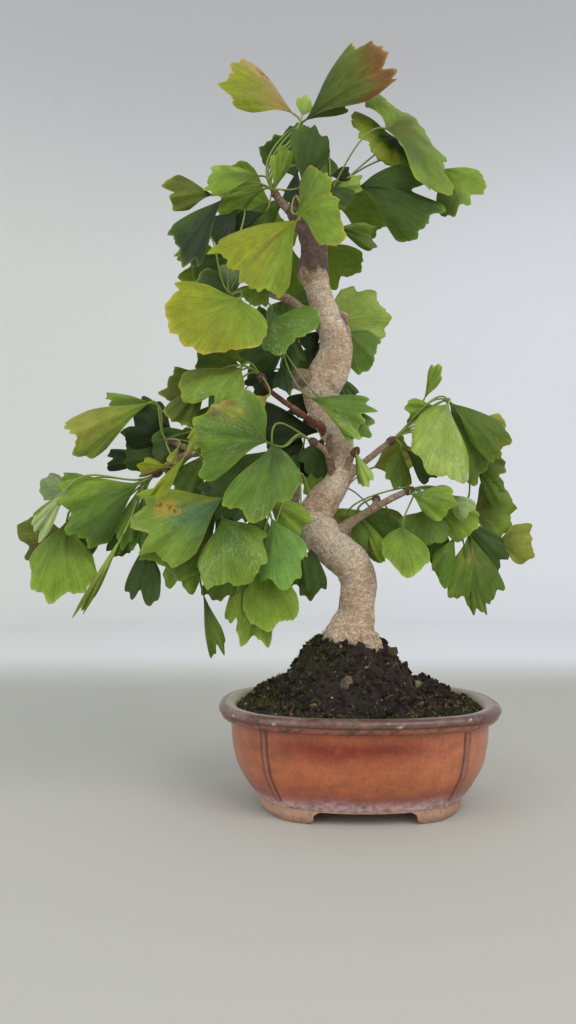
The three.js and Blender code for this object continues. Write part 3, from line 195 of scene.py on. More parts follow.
SPRAYS = [
    ("leaves_crown_top", "crown_top", [
        sighted((293.8, 113.8, -5), (231, 104.6, -24), (241.5, 56.8, -6), "lime", 6, 4, 0.02, 0.06,
                right="tan", heart="tan", rim="gold", spots=[(0.8, 0.7, 0.2, "rust")]),
        leaf((-39, -8, 487), (-43, -12, 498), (-31, -8, 494), "fresh", 2, 0, 0.2, rim="pale"),
        sighted((305.3, 120, -6), (351, 45.5, -10), (390.4, 90.5, -16), "olive", 8, 5, 0.07, 0.03,
                heart="deep", left="moss", rim="tan",
                spots=[(0.25, 1, 0.3, "rust"), (0.6, 0.95, 0.25, "rust"), (-0.1, 1, 0.2, "rust")]),
        sighted((302.6, 183.8, -12), (292.8, 126.5, -16), (329.8, 156, -22), "deep", 5, 3, 0.08,
                left="moss"),
        leaf((-59, -6, 433), (-62, -10, 453), (-45, 2, 464), "leaf", 4, 2, 0.15, rim="pear"),
        sighted((213.6, 195.3, -14), (176, 211.6, -20), (170.1, 174, -18), "olive", 4, 3, 0.02, 0.08,
                rim="lime"),
        sighted((261, 175.6, -16), (215, 195, -24), (207, 163.5, -18), "leaf", -4, 4, 0.03,
                right="fresh", heart="moss", rim="lime"),
        leaf((-67, 0, 437), (-92, 8, 416), (-99, 4, 436), "leaf", 3, 2, 0.1, heart="mid"),
        sighted((221.8, 200, -24), (173, 230, -32), (196, 268, -34), "dark", 5, 4, 0.1, 0.08,
                rim="leaf", left="deep"),
        leaf((-66, -2, 419), (-88, 6, 398), (-90, 2, 421), "dark", 3, 2, 0.1, rim="leaf"),
    ]),
    ("leaves_crown_front", "crown_front", [
        sighted((296.4, 213.3, -28), (315, 160, -36), (347, 250, -46), "leaf", 4, 2, -0.25, 0.04,
                rim="gold", left="moss"),
        sighted((298.7, 219.8, -30), (216.5, 244.4, -44), (274.5, 306, -54), "lime", 9, 5, 0.02, 0.08,
                rim="lime", right="leaf", streaks=[(-0.05, "gold"), (0.12, "moss"), (0.5, "mid")]),
    ]),
    ("leaves_crown_right", "crown_right", [
        sighted((385, 129, -10), (371, 98, 6), (448, 207, -20), "olive", 6, 4, -0.16, 0.04,
                left="leaf", right="mid", rim="lime", tip="leaf"),
        sighted((396.9, 138, 8), (345.5, 115.7, 4), (418.2, 183.8, 2), "deep", 4, 3, -0.3, 0.06,
                tip="lime", left="leaf"),
        sighted((358.6, 186.4, 6), (393.6, 167.5, 0), (416.5, 244.4, -2), "deep", 5, 4, 0.25, 0.3,
                rim="leaf", right="moss"),
        sighted((336.4, 228, 4), (370.7, 223.7, -2), (371.7, 252.5, 0), "moss", 3, 3, 0.05, 0.1,
                left="leaf"),
        leaf((-18, 4, 449), (-8, 3, 456), (-5, 4, 445), "dark", 1, 0, 0.15),
        leaf((-16, 8, 440), (1, 2, 451), (2, 6, 437), "fresh", 2, 1, 0.1, rim="lime"),
        leaf((-21, -2, 439), (-2, -6, 433), (-14, -6, 418), "deep", 2, 1, 0.12),
        sighted((439.5, 169.1, 24), (477.1, 174, 18), (442.7, 217.2, 16), "leaf", 4, 3, 0.15, 0.08,
                right="deep", rim="lime"),
    ]),
    ("leaves_upper_left", "upper_left", [
        leaf((-80, -54, 338), (-120, -58, 342), (-65, -58, 316), "lime", 7, 4, 0.48, 0.06,
             rim="gold", left="lime", heart="leaf", right="leaf"),
        leaf((-62, -36, 354), (-82, -42, 347), (-64, -44, 336), "leaf", 2, 1, 0.12, 0,
             bloom=0.5, spots=[(-0.3, 0.75, 0.13, "rust"), (0.1, 0.4, 0.1, "white")]),
        leaf((-60, -22, 341), (-65, -24, 332), (-55, -24, 331), "blue", 1, 0, 0.15, bloom=0.5),
        leaf((-88, -24, 353), (-112, -14, 352), (-104, -18, 371), "deep", 3, 2, 0.1, rim="fresh"),
        leaf((-86, -18, 350), (-98, -8, 372), (-82, -10, 373), "grey", 3, 2, 0.1, left="mid"),
        leaf((-112, -8, 398), (-130, -6, 388), (-124, -6, 381), "leaf", 1, 1, 0.05),
    ]),
    ("leaves_mid_front", "stub_spur", [
        leaf((-61, -34, 331), (-28, -38, 335), (-67, -42, 307), "mid", 4, 2, 0.1, 0.05,
             bloom=0.6, rim="leaf"),
        leaf((-50, -20, 331), (-38, -22, 309), (-53, -22, 300), "deep", 2, 1, 0.1),
        leaf((-54, -26, 300), (-60, -36, 284), (-46, -36, 283), "dark", 2, 1, 0.1),
        leaf((-34, -26, 278), (3, -28, 277), (-5, -32, 251), "mid", 4, 3, 0.12, 0.2,
             rim="fresh", bloom=0.6, right="leaf"),
    ]),
    ("leaves_trunk_back", "trunk_back", [
        leaf((-16, 32, 347), (-8, 32, 371), (21, 34, 337), "fresh", 4, 2, 0.3, rim="lime"),
        leaf((-8, 18, 338), (15, 24, 336), (2, 22, 304), "mid", 3, 2, 0.05, rim="leaf"),
        leaf((-12, 23, 306), (4, 23, 293), (-8, 21, 284), "deep", 2, 1, 0.1),
    ]),
    ("leaves_long_shoot", "long_shoot", [
        sighted((241.6, 367, -52), (173.5, 383.5, -54), (241, 396.4, -56), "leaf", 6, 4, 0.1, 0.1,
                left="olive", rim="lime", bloom=0.4, streaks=[(0.15, "moss")]),
        leaf((-102, -42, 287), (-133, -46, 264), (-112, -46, 254), "olive", 3, 3, 0.05,
             rim="fresh", heart="deep"),
        leaf((-96, -58, 268), (-114, -60, 244), (-104, -62, 236), "pear", 2, 2, 0.05, rim="lime"),
        leaf((-62, -38, 277), (-74, -40, 275), (-68, -40, 264), "gold", 1, 0, 0.1, heart="lime",
             spots=[(0.2, 0.8, 0.25, "rust")]),
    ]),
    ("leaves_front_spur", "front_spur", [
        sighted((268, 442, -68), (257.5, 401.5, -70), (192, 474, -76), "mid", 5, 4, 0.1, 0.06,
                rim="lime", bloom=0.45, streaks=[(0.3, "deep"), (0.45, "leaf")],
                spots=[(-0.25, 0.8, 0.3, "pear"), (-0.15, 1.0, 0.16, "tan"), (-0.28, 0.92, 0.13, "rust"),
                       (-0.12, 0.7, 0.09, "rust"), (-0.32, 0.72, 0.07, "gold"), (0.0, 0.93, 0.09, "brown"),
                       (-0.2, 0.5, 0.06, "rust")]),
        sighted((272.5, 443.5, -70), (224.5, 508, -80), (295, 467.5, -72), "mid", 6, 4, 0.22, 0.05,
                rim="lime", bloom=0.35, heart="deep"),
    ]),
    ("leaves_mid_back", "mid_back", [
        leaf((-40, 20, 264), (-60, 14, 242), (-35, 14, 226), "dark", 2, 2, 0.1),
        leaf((-43, 26, 282), (-68, 20, 268), (-57, 22, 246), "dark", 2, 2, 0.1),
    ]),
    ("leaves_left_upper", "lower_left", [
        sighted((149.5, 402.4, -50), (71, 417.5, -50), (84, 465, -52), "pear", 5, 4, 0.03, 0.05,
                right="moss", heart="leaf", rim="fresh"),
        leaf((-139, -36, 272), (-172, -30, 281), (-164, -38, 266), "moss", 2, 2, 0.03, left="leaf"),
        leaf((-127, -22, 252), (-140, -26, 278), (-155, -30, 244), "dark", 3, 3, 0.08, 0.1, left="moss"),
        leaf((-138, -22, 238), (-170, -22, 243), (-169, -26, 227), "dark", 2, 2, 0.03),
        leaf((-120, -46, 243), (-128, -50, 232), (-121, -50, 229), "pear", 1, 0, 0.1, right="brown"),
        leaf((-126, -46, 228), (-141, -50, 234), (-144, -50, 222), "lime", 1, 0, 0.1, right="brown"),
    ]),
    ("leaves_left_end", "left_end", [
        sighted((140.5, 482.5, -54), (70.9, 484, -60), (95.5, 550, -60), "mid", 6, 4, 0.1, 0.05,
                left="leaf", right="deep", rim="leaf"),
        sighted((70, 485.5, -66), (34, 514, -68), (41.5, 541, -64), "pale", -3, 4, 0.05,
                left="fresh", heart="grey"),
        leaf((-192, -42, 214), (-204, -40, 225), (-210, -44, 207), "grey", 2, 0, 0.1),
        leaf((-176, -38, 222), (-198, -34, 226), (-197, -38, 213), "leaf", 2, 0, 0.05),
        leaf((-197, -34, 186), (-219, -34, 198), (-215, -38, 166), "olive", 3, 1, 0.08, right="brown"),
        sighted((67, 520, -46), (30.4, 563.5, -48), (94.9, 571, -50), "leaf", 6, 4, 0.35, 0.05,
                rim="fresh", heart="moss"),
        leaf((-152, -60, 186), (-181, -68, 136), (-170, -66, 142), "fresh", 2, 3, 0.02, tip="olive"),
        leaf((-150, -38, 200), (-169, -36, 176), (-151, -38, 175), "moss", 2, 2, 0.05, rim="leaf"),
        leaf((-140, -40, 180), (-153, -38, 158), (-131, -42, 148), "deep", 3, 3, 0.35, 0.15),
    ]),
    ("leaves_low_left", "low_spur", [
        sighted((225.4, 496.6, -62), (147, 496, -64), (178, 565.6, -68), "blue", 6, 4, 0.15, 0.05,
                tip="leaf", left="lime", rim="lime", bloom=0.3,
                spots=[(-0.5, 0.7, 0.16, "gold"), (-0.45, 0.66, 0.1, "rust"), (-0.25, 0.55, 0.09, "rust"),
                       (-0.55, 0.8, 0.09, "brown"), (-0.1, 1.02, 0.1, "tan")]),
        sighted((221.5, 517, -58), (199.6, 577, -64), (260.5, 535, -62), "mid", 6, 4, 0.36, 0.06,
                bloom=0.45, tip="leaf", rim="leaf"),
        leaf((-112, -72, 233), (-134, -76, 208), (-126, -76, 203), "lime", 2, 3, 0.03, right="fresh"),
        leaf((-112, -44, 183), (-130, -44, 158), (-107, -44, 153), "mid", 2, 2, 0.12, 0.15, tip="leaf"),
        leaf((-104, -46, 146), (-100, -46, 107), (-87, -46, 112), "moss", 2, 2, 0.03, 0.1, heart="deep"),
    ]),
    ("leaves_low_mid", "grey_stub", [
        sighted((270.4, 517.6, -48), (305.5, 547, -50), (263, 583, -54), "jade", 5, 4, 0.2, 0.05,
                rim="leaf"),
        leaf((-66, -40, 168), (-77, -44, 137), (-45, -44, 145), "leaf", 3, 3, 0.4, 0.05, rim="fresh"),
        leaf((-78, -34, 165), (-90, -40, 134), (-74, -40, 128), "leaf", 2, 2, 0.15, 0.1,
             spots=[(0.3, 0.2, 0.2, "brown"), (-0.2, 0.6, 0.1, "rust")]),
        leaf((-40, -26, 180), (-49, -26, 152), (-29, -24, 152), "deep", 2, 2, 0.1, 0.2),
    ]),
    ("leaves_trunk_bud", "trunk_bud", [
        leaf((-3, -18, 243), (10, -22, 224), (0, -20, 220), "fresh", 3, 2, 0.1, right="deep"),
    ]),
    ("leaves_right_upper", "upper_right", [
        sighted((448.4, 403, -6), (424, 414, -10), (463.2, 477, -18), "fresh", 6, 4, 0.36, 0.04,
                left="leaf", bloom=0.7, rim="lime", spots=[(0.8, 1, 0.1, "pink")]),
        sighted((451.5, 403, -4), (499.1, 423, -6), (486.4, 460, -10), "moss", 5, 4, 0.12, 0.05,
                rim="lime", right="mid"),
        sighted((424, 399, 14), (431.9, 359.6, 16), (440, 382.8, 14), "leaf", 4, 2, 0.05, rim="fresh"),
        leaf((60, 10, 279), (38, 4, 284), (37, 8, 265), "leaf", 4, 2, 0.05, right="deep"),
        leaf((86, 10, 262), (99, 8, 272), (106, 10, 244), "pear", 2, 2, 0.15),
        leaf((36, 6, 247), (57, 2, 240), (50, 6, 221), "deep", 2, 2, 0.05),
        leaf((32, 0, 246), (21, -2, 232), (38, -2, 219), "moss", 2, 2, 0.2, rim="leaf"),
    ]),
    ("leaves_right_lower", "lower_right", [
        sighted((411, 493.2, -16), (451.5, 487.5, -22), (431.5, 518, -22), "leaf", 3, 3, 0.2, 0.05,
                bloom=0.3, heart="mid"),
        sighted((448.4, 495, -12), (473.7, 501, -14), (456.8, 518, -14), "grey", 2, 2, 0.1,
                bloom=0.7, tip="fresh"),
        leaf((47, -6, 203), (64, -8, 188), (29, -8, 192), "moss", 3, 2, 0.15, 0.06, tip="mid"),
        sighted((402.9, 525.5, -16), (385.5, 540, -20), (426.2, 552, -20), "leaf", 3, 3, 0.72, 0.03,
                heart="mid", rim="fresh"),
        sighted((454.7, 536, -2), (431.9, 558.3, -4), (451.5, 584.7, -4), "mid", 3, 3, 0.12, left="leaf"),
        leaf((80, 2, 187), (64, 0, 152), (103, 2, 148), "moss", 5, 4, 0.25, 0.5,
             left="leaf", spots=[(-0.05, 0.42, 0.12, "tan"), (0.02, 0.5, 0.07, "rust")]),
    ]),
    ("leaves_right_far", "right_back", [
        sighted((470.6, 453.6, 12), (493.8, 508.6, 10), (500, 478, 12), "moss", 3, 3, 0.02),
        leaf((86, 18, 202), (102, 20, 228), (105, 18, 181), "olive", 3, 2, 0.02, tip="leaf"),
        sighted((497, 541.4, 14), (523, 521.3, 14), (526, 567, 14), "pear", 3, 2, 0, 0.05,
                heart="moss", rim="lime"),
    ]),
    ("leaves_right_inner", "right_inner", [
        leaf((24, 24, 201), (-12, 26, 204), (-5, 22, 189), "moss", 2, 2, 0.03, tip="leaf"),
        leaf((2, 12, 202), (22, 8, 178), (15, 9, 164), "leaf", 3, 3, 0.03, heart="mid"),
    ]),
]

# Blades behind the others, past the triangles that the solids may have.
BEHIND = {
    "leaves_crown_right": [
        sighted((313, 191, 14), (354, 176, 14), (342, 209, 12), "mid", 3, 2, 0.12, tip="leaf"),
        sighted((322, 150, 20), (300, 166, 18), (338, 176, 16), "moss", 3, 2, 0.1),
    ],
    "leaves_upper_left": [
        sighted((248, 254, 14), (196, 258, 12), (212, 298, 10), "deep", 3, 2, 0.15, rim="leaf"),
        sighted((236, 272, 4), (200, 286, 2), (232, 305, 0), "moss", 3, 2, 0.1, tip="leaf"),
        sighted((238, 212, -4), (206, 222, -6), (226, 252, -8), "dark", 3, 2, 0.12, rim="mid"),
    ],
    "leaves_trunk_back": [
        sighted((320, 342, 18), (290, 362, 20), (318, 380, 18), "deep", 3, 2, 0.12),
        sighted((322, 330, 10), (300, 338, 10), (312, 356, 10), "dark", 2, 2, 0.1),
        sighted((284, 300, 4), (266, 308, 4), (280, 320, 4), "mid", 2, 2, 0.12),
    ],
    "leaves_mid_front": [
        sighted((285, 371, -8), (250, 376, -10), (262, 398, -10), "dark", 2, 2, 0.12),
        sighted((288, 346, -4), (246, 348, -4), (264, 380, -6), "deep", 3, 2, 0.12),
        sighted((322, 400, -25), (371, 418, -27), (352, 442, -29), "mid", 3, 2, 0.12,
                rim="fresh", bloom=0.3),
    ],
    "leaves_mid_back": [
        sighted((320, 432, 14), (262, 404, 18), (272, 446, 12), "dark", 3, 2, 0.15),
        sighted((300, 452, 6), (264, 470, 6), (296, 486, 4), "deep", 3, 2, 0.12),
        sighted((316, 392, 10), (288, 398, 10), (302, 420, 10), "dark", 2, 2, 0.1),
        sighted((324, 436, 2), (300, 456, 2), (326, 482, 2), "deep", 3, 2, 0.12),
    ],
    "leaves_left_upper": [
        sighted((194, 450, -20), (134, 426, -22), (140, 472, -24), "deep", 3, 2, 0.1),
        sighted((198, 432, -28), (160, 430, -30), (170, 468, -30), "deep", 3, 2, 0.15,
                left="mid", right="moss"),
        sighted((206, 454, -32), (170, 476, -34), (198, 498, -36), "moss", 3, 2, 0.12, rim="leaf"),
    ],
    "leaves_left_end": [
        sighted((146, 482, -46), (130, 546, -48), (160, 556, -46), "mid", 3, 2, 0.1, rim="leaf"),
        sighted((130, 516, -36), (104, 550, -38), (130, 548, -38), "deep", 2, 2, 0.15),
        sighted((116, 498, -40), (74, 512, -42), (86, 560, -44), "moss", 3, 2, 0.12),
        sighted((141, 485, -50), (116, 528, -52), (136, 540, -52), "mid", 3, 2, 0.12, rim="leaf"),
    ],
    "leaves_low_left": [
        sighted((222, 500, -46), (150, 540, -48), (196, 575, -50), "moss", 4, 2, 0.12, rim="leaf"),
        sighted((262, 470, -44), (206, 482, -46), (226, 530, -46), "deep", 3, 2, 0.12),
        sighted((226, 556, -38), (203, 590, -40), (233, 598, -40), "moss", 3, 2, 0.12),
    ],
    "leaves_low_mid": [
        sighted((262, 506, -30), (222, 560, -32), (282, 572, -34), "mid", 4, 2, 0.12, tip="leaf"),
        sighted((314, 545, -6), (290, 578, -8), (326, 592, -6), "deep", 3, 2, 0.12, rim="mid"),
        sighted((266, 498, -26), (302, 506, -24), (290, 542, -26), "leaf", 3, 2, 0.12, heart="mid"),
        sighted((262, 578, -38), (236, 630, -40), (272, 634, -40), "leaf", 3, 2, 0.12, rim="fresh"),
    ],
    "leaves_front_spur": [
        sighted((284, 446, -50), (206, 470, -54), (244, 520, -56), "deep", 4, 2, 0.1),
    ],
    "leaves_right_upper": [
        sighted((448, 408, 6), (424, 452, 6), (470, 470, 4), "deep", 3, 2, 0.12),
        sighted((449, 403, 0), (489, 440, -2), (458, 482, -4), "moss", 3, 2, 0.12, rim="leaf"),
        sighted((468, 452, 8), (504, 458, 8), (490, 482, 8), "moss", 2, 2, 0.12, rim="lime"),
    ],
    "leaves_right_lower": [
        sighted((431, 500, -2), (478, 512, -4), (452, 540, -4), "leaf", 3, 2, 0.1, heart="mid"),
        sighted((349, 518, 8), (367, 530, 8), (356, 549, 8), "mid", 2, 2, 0.1),
        sighted((463, 540, -1), (464, 602, -3), (486, 604, -3), "moss", 3, 2, 0.1),
        sighted((462, 519, 12), (500, 538, 14), (486, 580, 14), "deep", 3, 2, 0.12),
        sighted((444, 520, 10), (418, 548, 10), (452, 566, 10), "mid", 3, 2, 0.1),
    ],
    "leaves_crown_top": [
        sighted((286, 196, 10), (246, 214, 8), (262, 240, 8), "moss", 3, 2, 0.12, rim="leaf"),
        sighted((297, 170, 6), (282, 200, 4), (304, 208, 4), "dark", 2, 2, 0.12),
        sighted((304, 121, 4), (325, 98, 2), (350, 112, 0), "moss", 2, 2, 0.12, rim="lime"),
    ],
    "leaves_long_shoot": [
        sighted((206, 396, -34), (162, 399, -36), (190, 371, -34), "olive", 3, 2, 0.1, rim="lime"),
    ],
    "leaves_right_inner": [
        sighted((359, 512, 22), (396, 518, 24), (376, 564, 22), "mid", 3, 2, 0.12, rim="leaf"),
    ],
}

# The sprays behind the tree: name, limb, blades, stalk length, blade length, seed.
ROSETTES = [
    ("leaves_back_crown", "crown_back", 5, 34, 38, 11),
    ("leaves_back_upper_left", "upper_left_back", 4, 30, 36, 23),
    ("leaves_back_left", "back_left", 5, 30, 36, 38),
    ("leaves_back_low", "back_low", 5, 30, 36, 41),
    ("leaves_back_low_left", "back_low_left", 5, 34, 38, 53),
]
ROSETTE_TONES = ["leaf", "mid", "moss", "pear", "deep"]
ROSETTE_TURN, ROSETTE_STALK, ROSETTE_LENGTH, ROSETTE_HALF = 0.35, (0.8, 1.2), (0.8, 1.15), (0.6, 0.85)
ROSETTE_FORWARD, ROSETTE_SIDEWAYS, ROSETTE_LEAN, ROSETTE_HANG = 0.55, 0.8, 0.35, 0.35
ROSETTE_BEND = dict(cup=-4, arch=-4, reach=0.12)
ROSETTE_SPLIT = 0.25


# ---------------------------------------------------------------- noise and small helpers

def draw(seed):
    """A repeatable number from 0 to 1 for a seed, the same as in the solids."""
    value = sin(seed * 12.9898) * 43758.5453
    return value - np.floor(value)


def cell_value(cells, seed):
    """A repeatable number from 0 to 1 for each whole-numbered cell."""
    x, y, z = (cells[..., axis].astype(np.int64).astype(np.uint64) for axis in range(3))
    mixed = x * np.uint64(73856093) ^ y * np.uint64(19349663) ^ z * np.uint64(83492791)
    mixed = mixed ^ np.uint64(seed * 7919 + 17)
    for shift, factor in ((13, 1274126177), (16, 2246822519)):
        mixed = (mixed ^ (mixed >> np.uint64(shift))) * np.uint64(factor)
    return ((mixed >> np.uint64(20)) & np.uint64(0xffff)) / 65535.0


def smooth_noise(points, seed):
    """Noise from -1 to 1 with cells one unit wide."""
    points = np.asarray(points, float)
    low = np.floor(points)
    share = points - low
    share = share ** 3 * (share * (share * 6 - 15) + 10)
    total = np.zeros(points.shape[:-1])
    for corner in np.ndindex(2, 2, 2):
        weight = np.prod(np.where(corner, share, 1 - share), axis=-1)
        total += weight * cell_value(low + corner, seed)
    return total * 2 - 1


def cloudy(points, size, octaves, seed):
    """Noise from about -1 to 1 in layers, each half as wide and half as strong as the one before."""
    points = np.asarray(points, float) / size
    total, strength = 0, 0
    for octave in range(octaves):
        total = total + smooth_noise(points * 2 ** octave, seed + octave) * 0.5 ** octave
        strength += 0.5 ** octave
    return total / strength * 1.4


def rise(low, high, value):
    """0 below low, 1 above high and smooth between."""
    share = np.clip((np.asarray(value, float) - low) / (high - low), 0, 1)
    return share * share * (3 - 2 * share)


def blend_colours(base, other, share):
    share = np.asarray(share, float)[..., None]
    return base * (1 - share) + np.asarray(other) * share


def painted(ground, *layers):
    """A ground, one colour or one for each point, under layers of paint: colours and their shares there."""
    tones = colour(ground) if isinstance(ground, str) else ground
    for tone, share in layers:
        tones = blend_colours(tones, colour(tone), share)
    return tones


def unit(vectors):
    vectors = np.asarray(vectors, float)
    return vectors / np.maximum(np.linalg.norm(vectors, axis=-1, keepdims=True), 1e-12)


def stack(*columns):
    return np.stack(np.broadcast_arrays(*columns), axis=-1)


# ---------------------------------------------------------------- pieces from points

FIRST_ACROSS = (0.3, 1, 0.1)                    # the way that a tube's first point faces
SHARP_OVER, SHARP_CRUMB, NO_EDGE = radians(50), radians(30), pi     # edges over these angles stay sharp


class Soup:
    """Points, faces, colours and pattern coordinates of one piece, gathered part by part."""

    def __init__(self):
        self.points, self.faces, self.slots = [], [], []
        self.colours, self.patterns, self.marks = [], [], []
        self.count = 0

    def add(self, points, faces, colours, patterns=None, slot=0, marks=(0, 0, 0), caps=()):
        points = np.asarray(points, float)
        count = len(points)
        self.points.append(points)
        self.colours.append(np.broadcast_to(colours, (count, 3)))
        self.patterns.append(points if patterns is None else np.broadcast_to(patterns, (count, 3)))
        self.marks.append(np.broadcast_to(marks, (count, 3)))
        self.faces += (np.asarray(faces) + self.count).tolist()
        self.faces += [[corner + self.count for corner in cap] for cap in caps]
        self.slots += [slot] * (len(faces) + len(caps))
        self.count += count

    def piece(self, name, materials, sharp=SHARP_OVER):
        """The gathered parts as one object, with its colours in "tone" and its coordinates in "pattern"."""
        mesh = new_mesh(name, np.concatenate(self.points), self.faces)
        finish_mesh(mesh, materials, sharp)
        mesh.polygons.foreach_set("material_index", self.slots)
        paint(mesh, np.concatenate(self.colours), np.concatenate(self.patterns))
        add_vectors(mesh, "marks", np.concatenate(self.marks))
        return add_object(name, mesh)


def new_mesh(name, points, faces):
    mesh = bpy.data.meshes.new(name)
    mesh.from_pydata(place(points).tolist(), [], faces)
    return mesh


def add_object(name, data):
    made = bpy.data.objects.new(name, data)
    bpy.context.scene.collection.objects.link(made)
    return made


def mesh_points(mesh):
    """A mesh's points as millimetres in the plant's frame."""
    metres = np.empty(len(mesh.vertices) * 3)
    mesh.vertices.foreach_get("co", metres)
    return (metres.reshape(-1, 3) - POT_MIDDLE) / MM


def modified(made):
    """The mesh of an object with its modifiers applied."""
    return bpy.data.meshes.new_from_object(made.evaluated_get(bpy.context.evaluated_depsgraph_get()))


def finish_mesh(mesh, materials, sharp):
    """Materials and smooth faces, apart from edges over the angle sharp."""
    for material in materials:
        mesh.materials.append(material)
    mesh.polygons.foreach_set("use_smooth", [True] * len(mesh.polygons))
    mesh.set_sharp_from_angle(angle=sharp)


def paint(mesh, colours, patterns):
    """Each point's colour as "tone" and its place in the patterns as "pattern"."""
    tone = mesh.color_attributes.new("tone", "FLOAT_COLOR", "POINT")
    tone.data.foreach_set("color", np.concatenate([colours, np.ones((len(colours), 1))], axis=1).ravel())
    add_vectors(mesh, "pattern", patterns)
    mesh.update()


def add_vectors(mesh, name, vectors):
    made = mesh.attributes.new(name, "FLOAT_VECTOR", "POINT")
    made.data.foreach_set("vector", np.ascontiguousarray(vectors, float).ravel())


def grid_faces(rows, columns, closed):
    """Quads between the points of a grid; closed joins the last column to the first."""
    row = np.arange(rows - 1)[:, None]
    column = np.arange(columns if closed else columns - 1)[None, :]
    after = (column + 1) % columns
    corners = [row * columns + column, row * columns + after,
               (row + 1) * columns + after, (row + 1) * columns + column]
    return stack(*corners).reshape(-1, 4)


def flat_caps(columns, rows):
    """The two flat ends of a grid whose rows are closed rings."""
    last = (rows - 1) * columns
    return [list(range(columns))[::-1], [last + k for k in range(columns)]]


def lengths_along(path):
    """How far along a path each of its points lies."""
    return np.concatenate([[0], np.cumsum(np.linalg.norm(np.diff(path, axis=0), axis=1))])


def spline(stations, step):
    """A smooth run of rows through stations, about step apart along their first three columns."""
    knots = np.asarray(stations, float)
    padded = np.concatenate([2 * knots[:1] - knots[1:2], knots, 2 * knots[-1:] - knots[-2:-1]])
    rows = []
    for i in range(len(knots) - 1):
        a, b, c, d = padded[i:i + 4]
        count = max(1, int(round(np.linalg.norm((c - b)[:3]) / step)))
        t = (np.arange(count) / count)[:, None]
        rows.append(0.5 * (2 * b + (c - a) * t + (2 * a - 5 * b + 4 * c - d) * t ** 2
                           + (3 * b - a - 3 * c + d) * t ** 3))
    rows.append(knots[-1:])
    return np.concatenate(rows)


def carried_frames(path, start=FIRST_ACROSS):
    """The tangents of a path with two directions across it that don't twist."""
    tangents = unit(np.gradient(path, axis=0))
    across = np.array(start, float)
    acrosses = []
    for tangent in tangents:
        across = unit(across - tangent * np.dot(across, tangent))
        acrosses.append(across)
    acrosses = np.array(acrosses)
    return tangents, acrosses, np.cross(tangents, acrosses)


def tube(path, radii, sides, start=FIRST_ACROSS):
    """A closed tube along a path: points, quads and the two caps, which are fans of triangles."""
    _, across, up = carried_frames(path, start)
    angle = 2 * pi * np.arange(sides) / sides
    ring = across[:, None] * np.cos(angle)[None, :, None] + up[:, None] * np.sin(angle)[None, :, None]
    points = (path[:, None] + ring * np.asarray(radii, float)[:, None, None]).reshape(-1, 3)
    quads = grid_faces(len(path), sides, True).tolist()
    first, last = len(points), len(points) + 1
    points = np.concatenate([points, path[:1], path[-1:]])
    end = (len(path) - 1) * sides
    caps = [[first, (k + 1) % sides, k] for k in range(sides)]
    caps += [[last, end + k, end + (k + 1) % sides] for k in range(sides)]
    return points, quads, caps


def add_tube(soup, path, radii, sides, colours, patterns=None, start=FIRST_ACROSS):
    """A tube in one colour or with one for each point of its path."""
    points, quads, caps = tube(path, radii, sides, start)
    if np.ndim(colours) == 2:
        colours = np.concatenate([np.repeat(colours, sides, axis=0), colours[:1], colours[-1:]])
    soup.add(points, quads, colours, patterns, caps=caps)


# ---------------------------------------------------------------- materials

NOISE_LOW, NOISE_HIGH = 0.3, 0.7        # nearly all of a noise's values lie between these


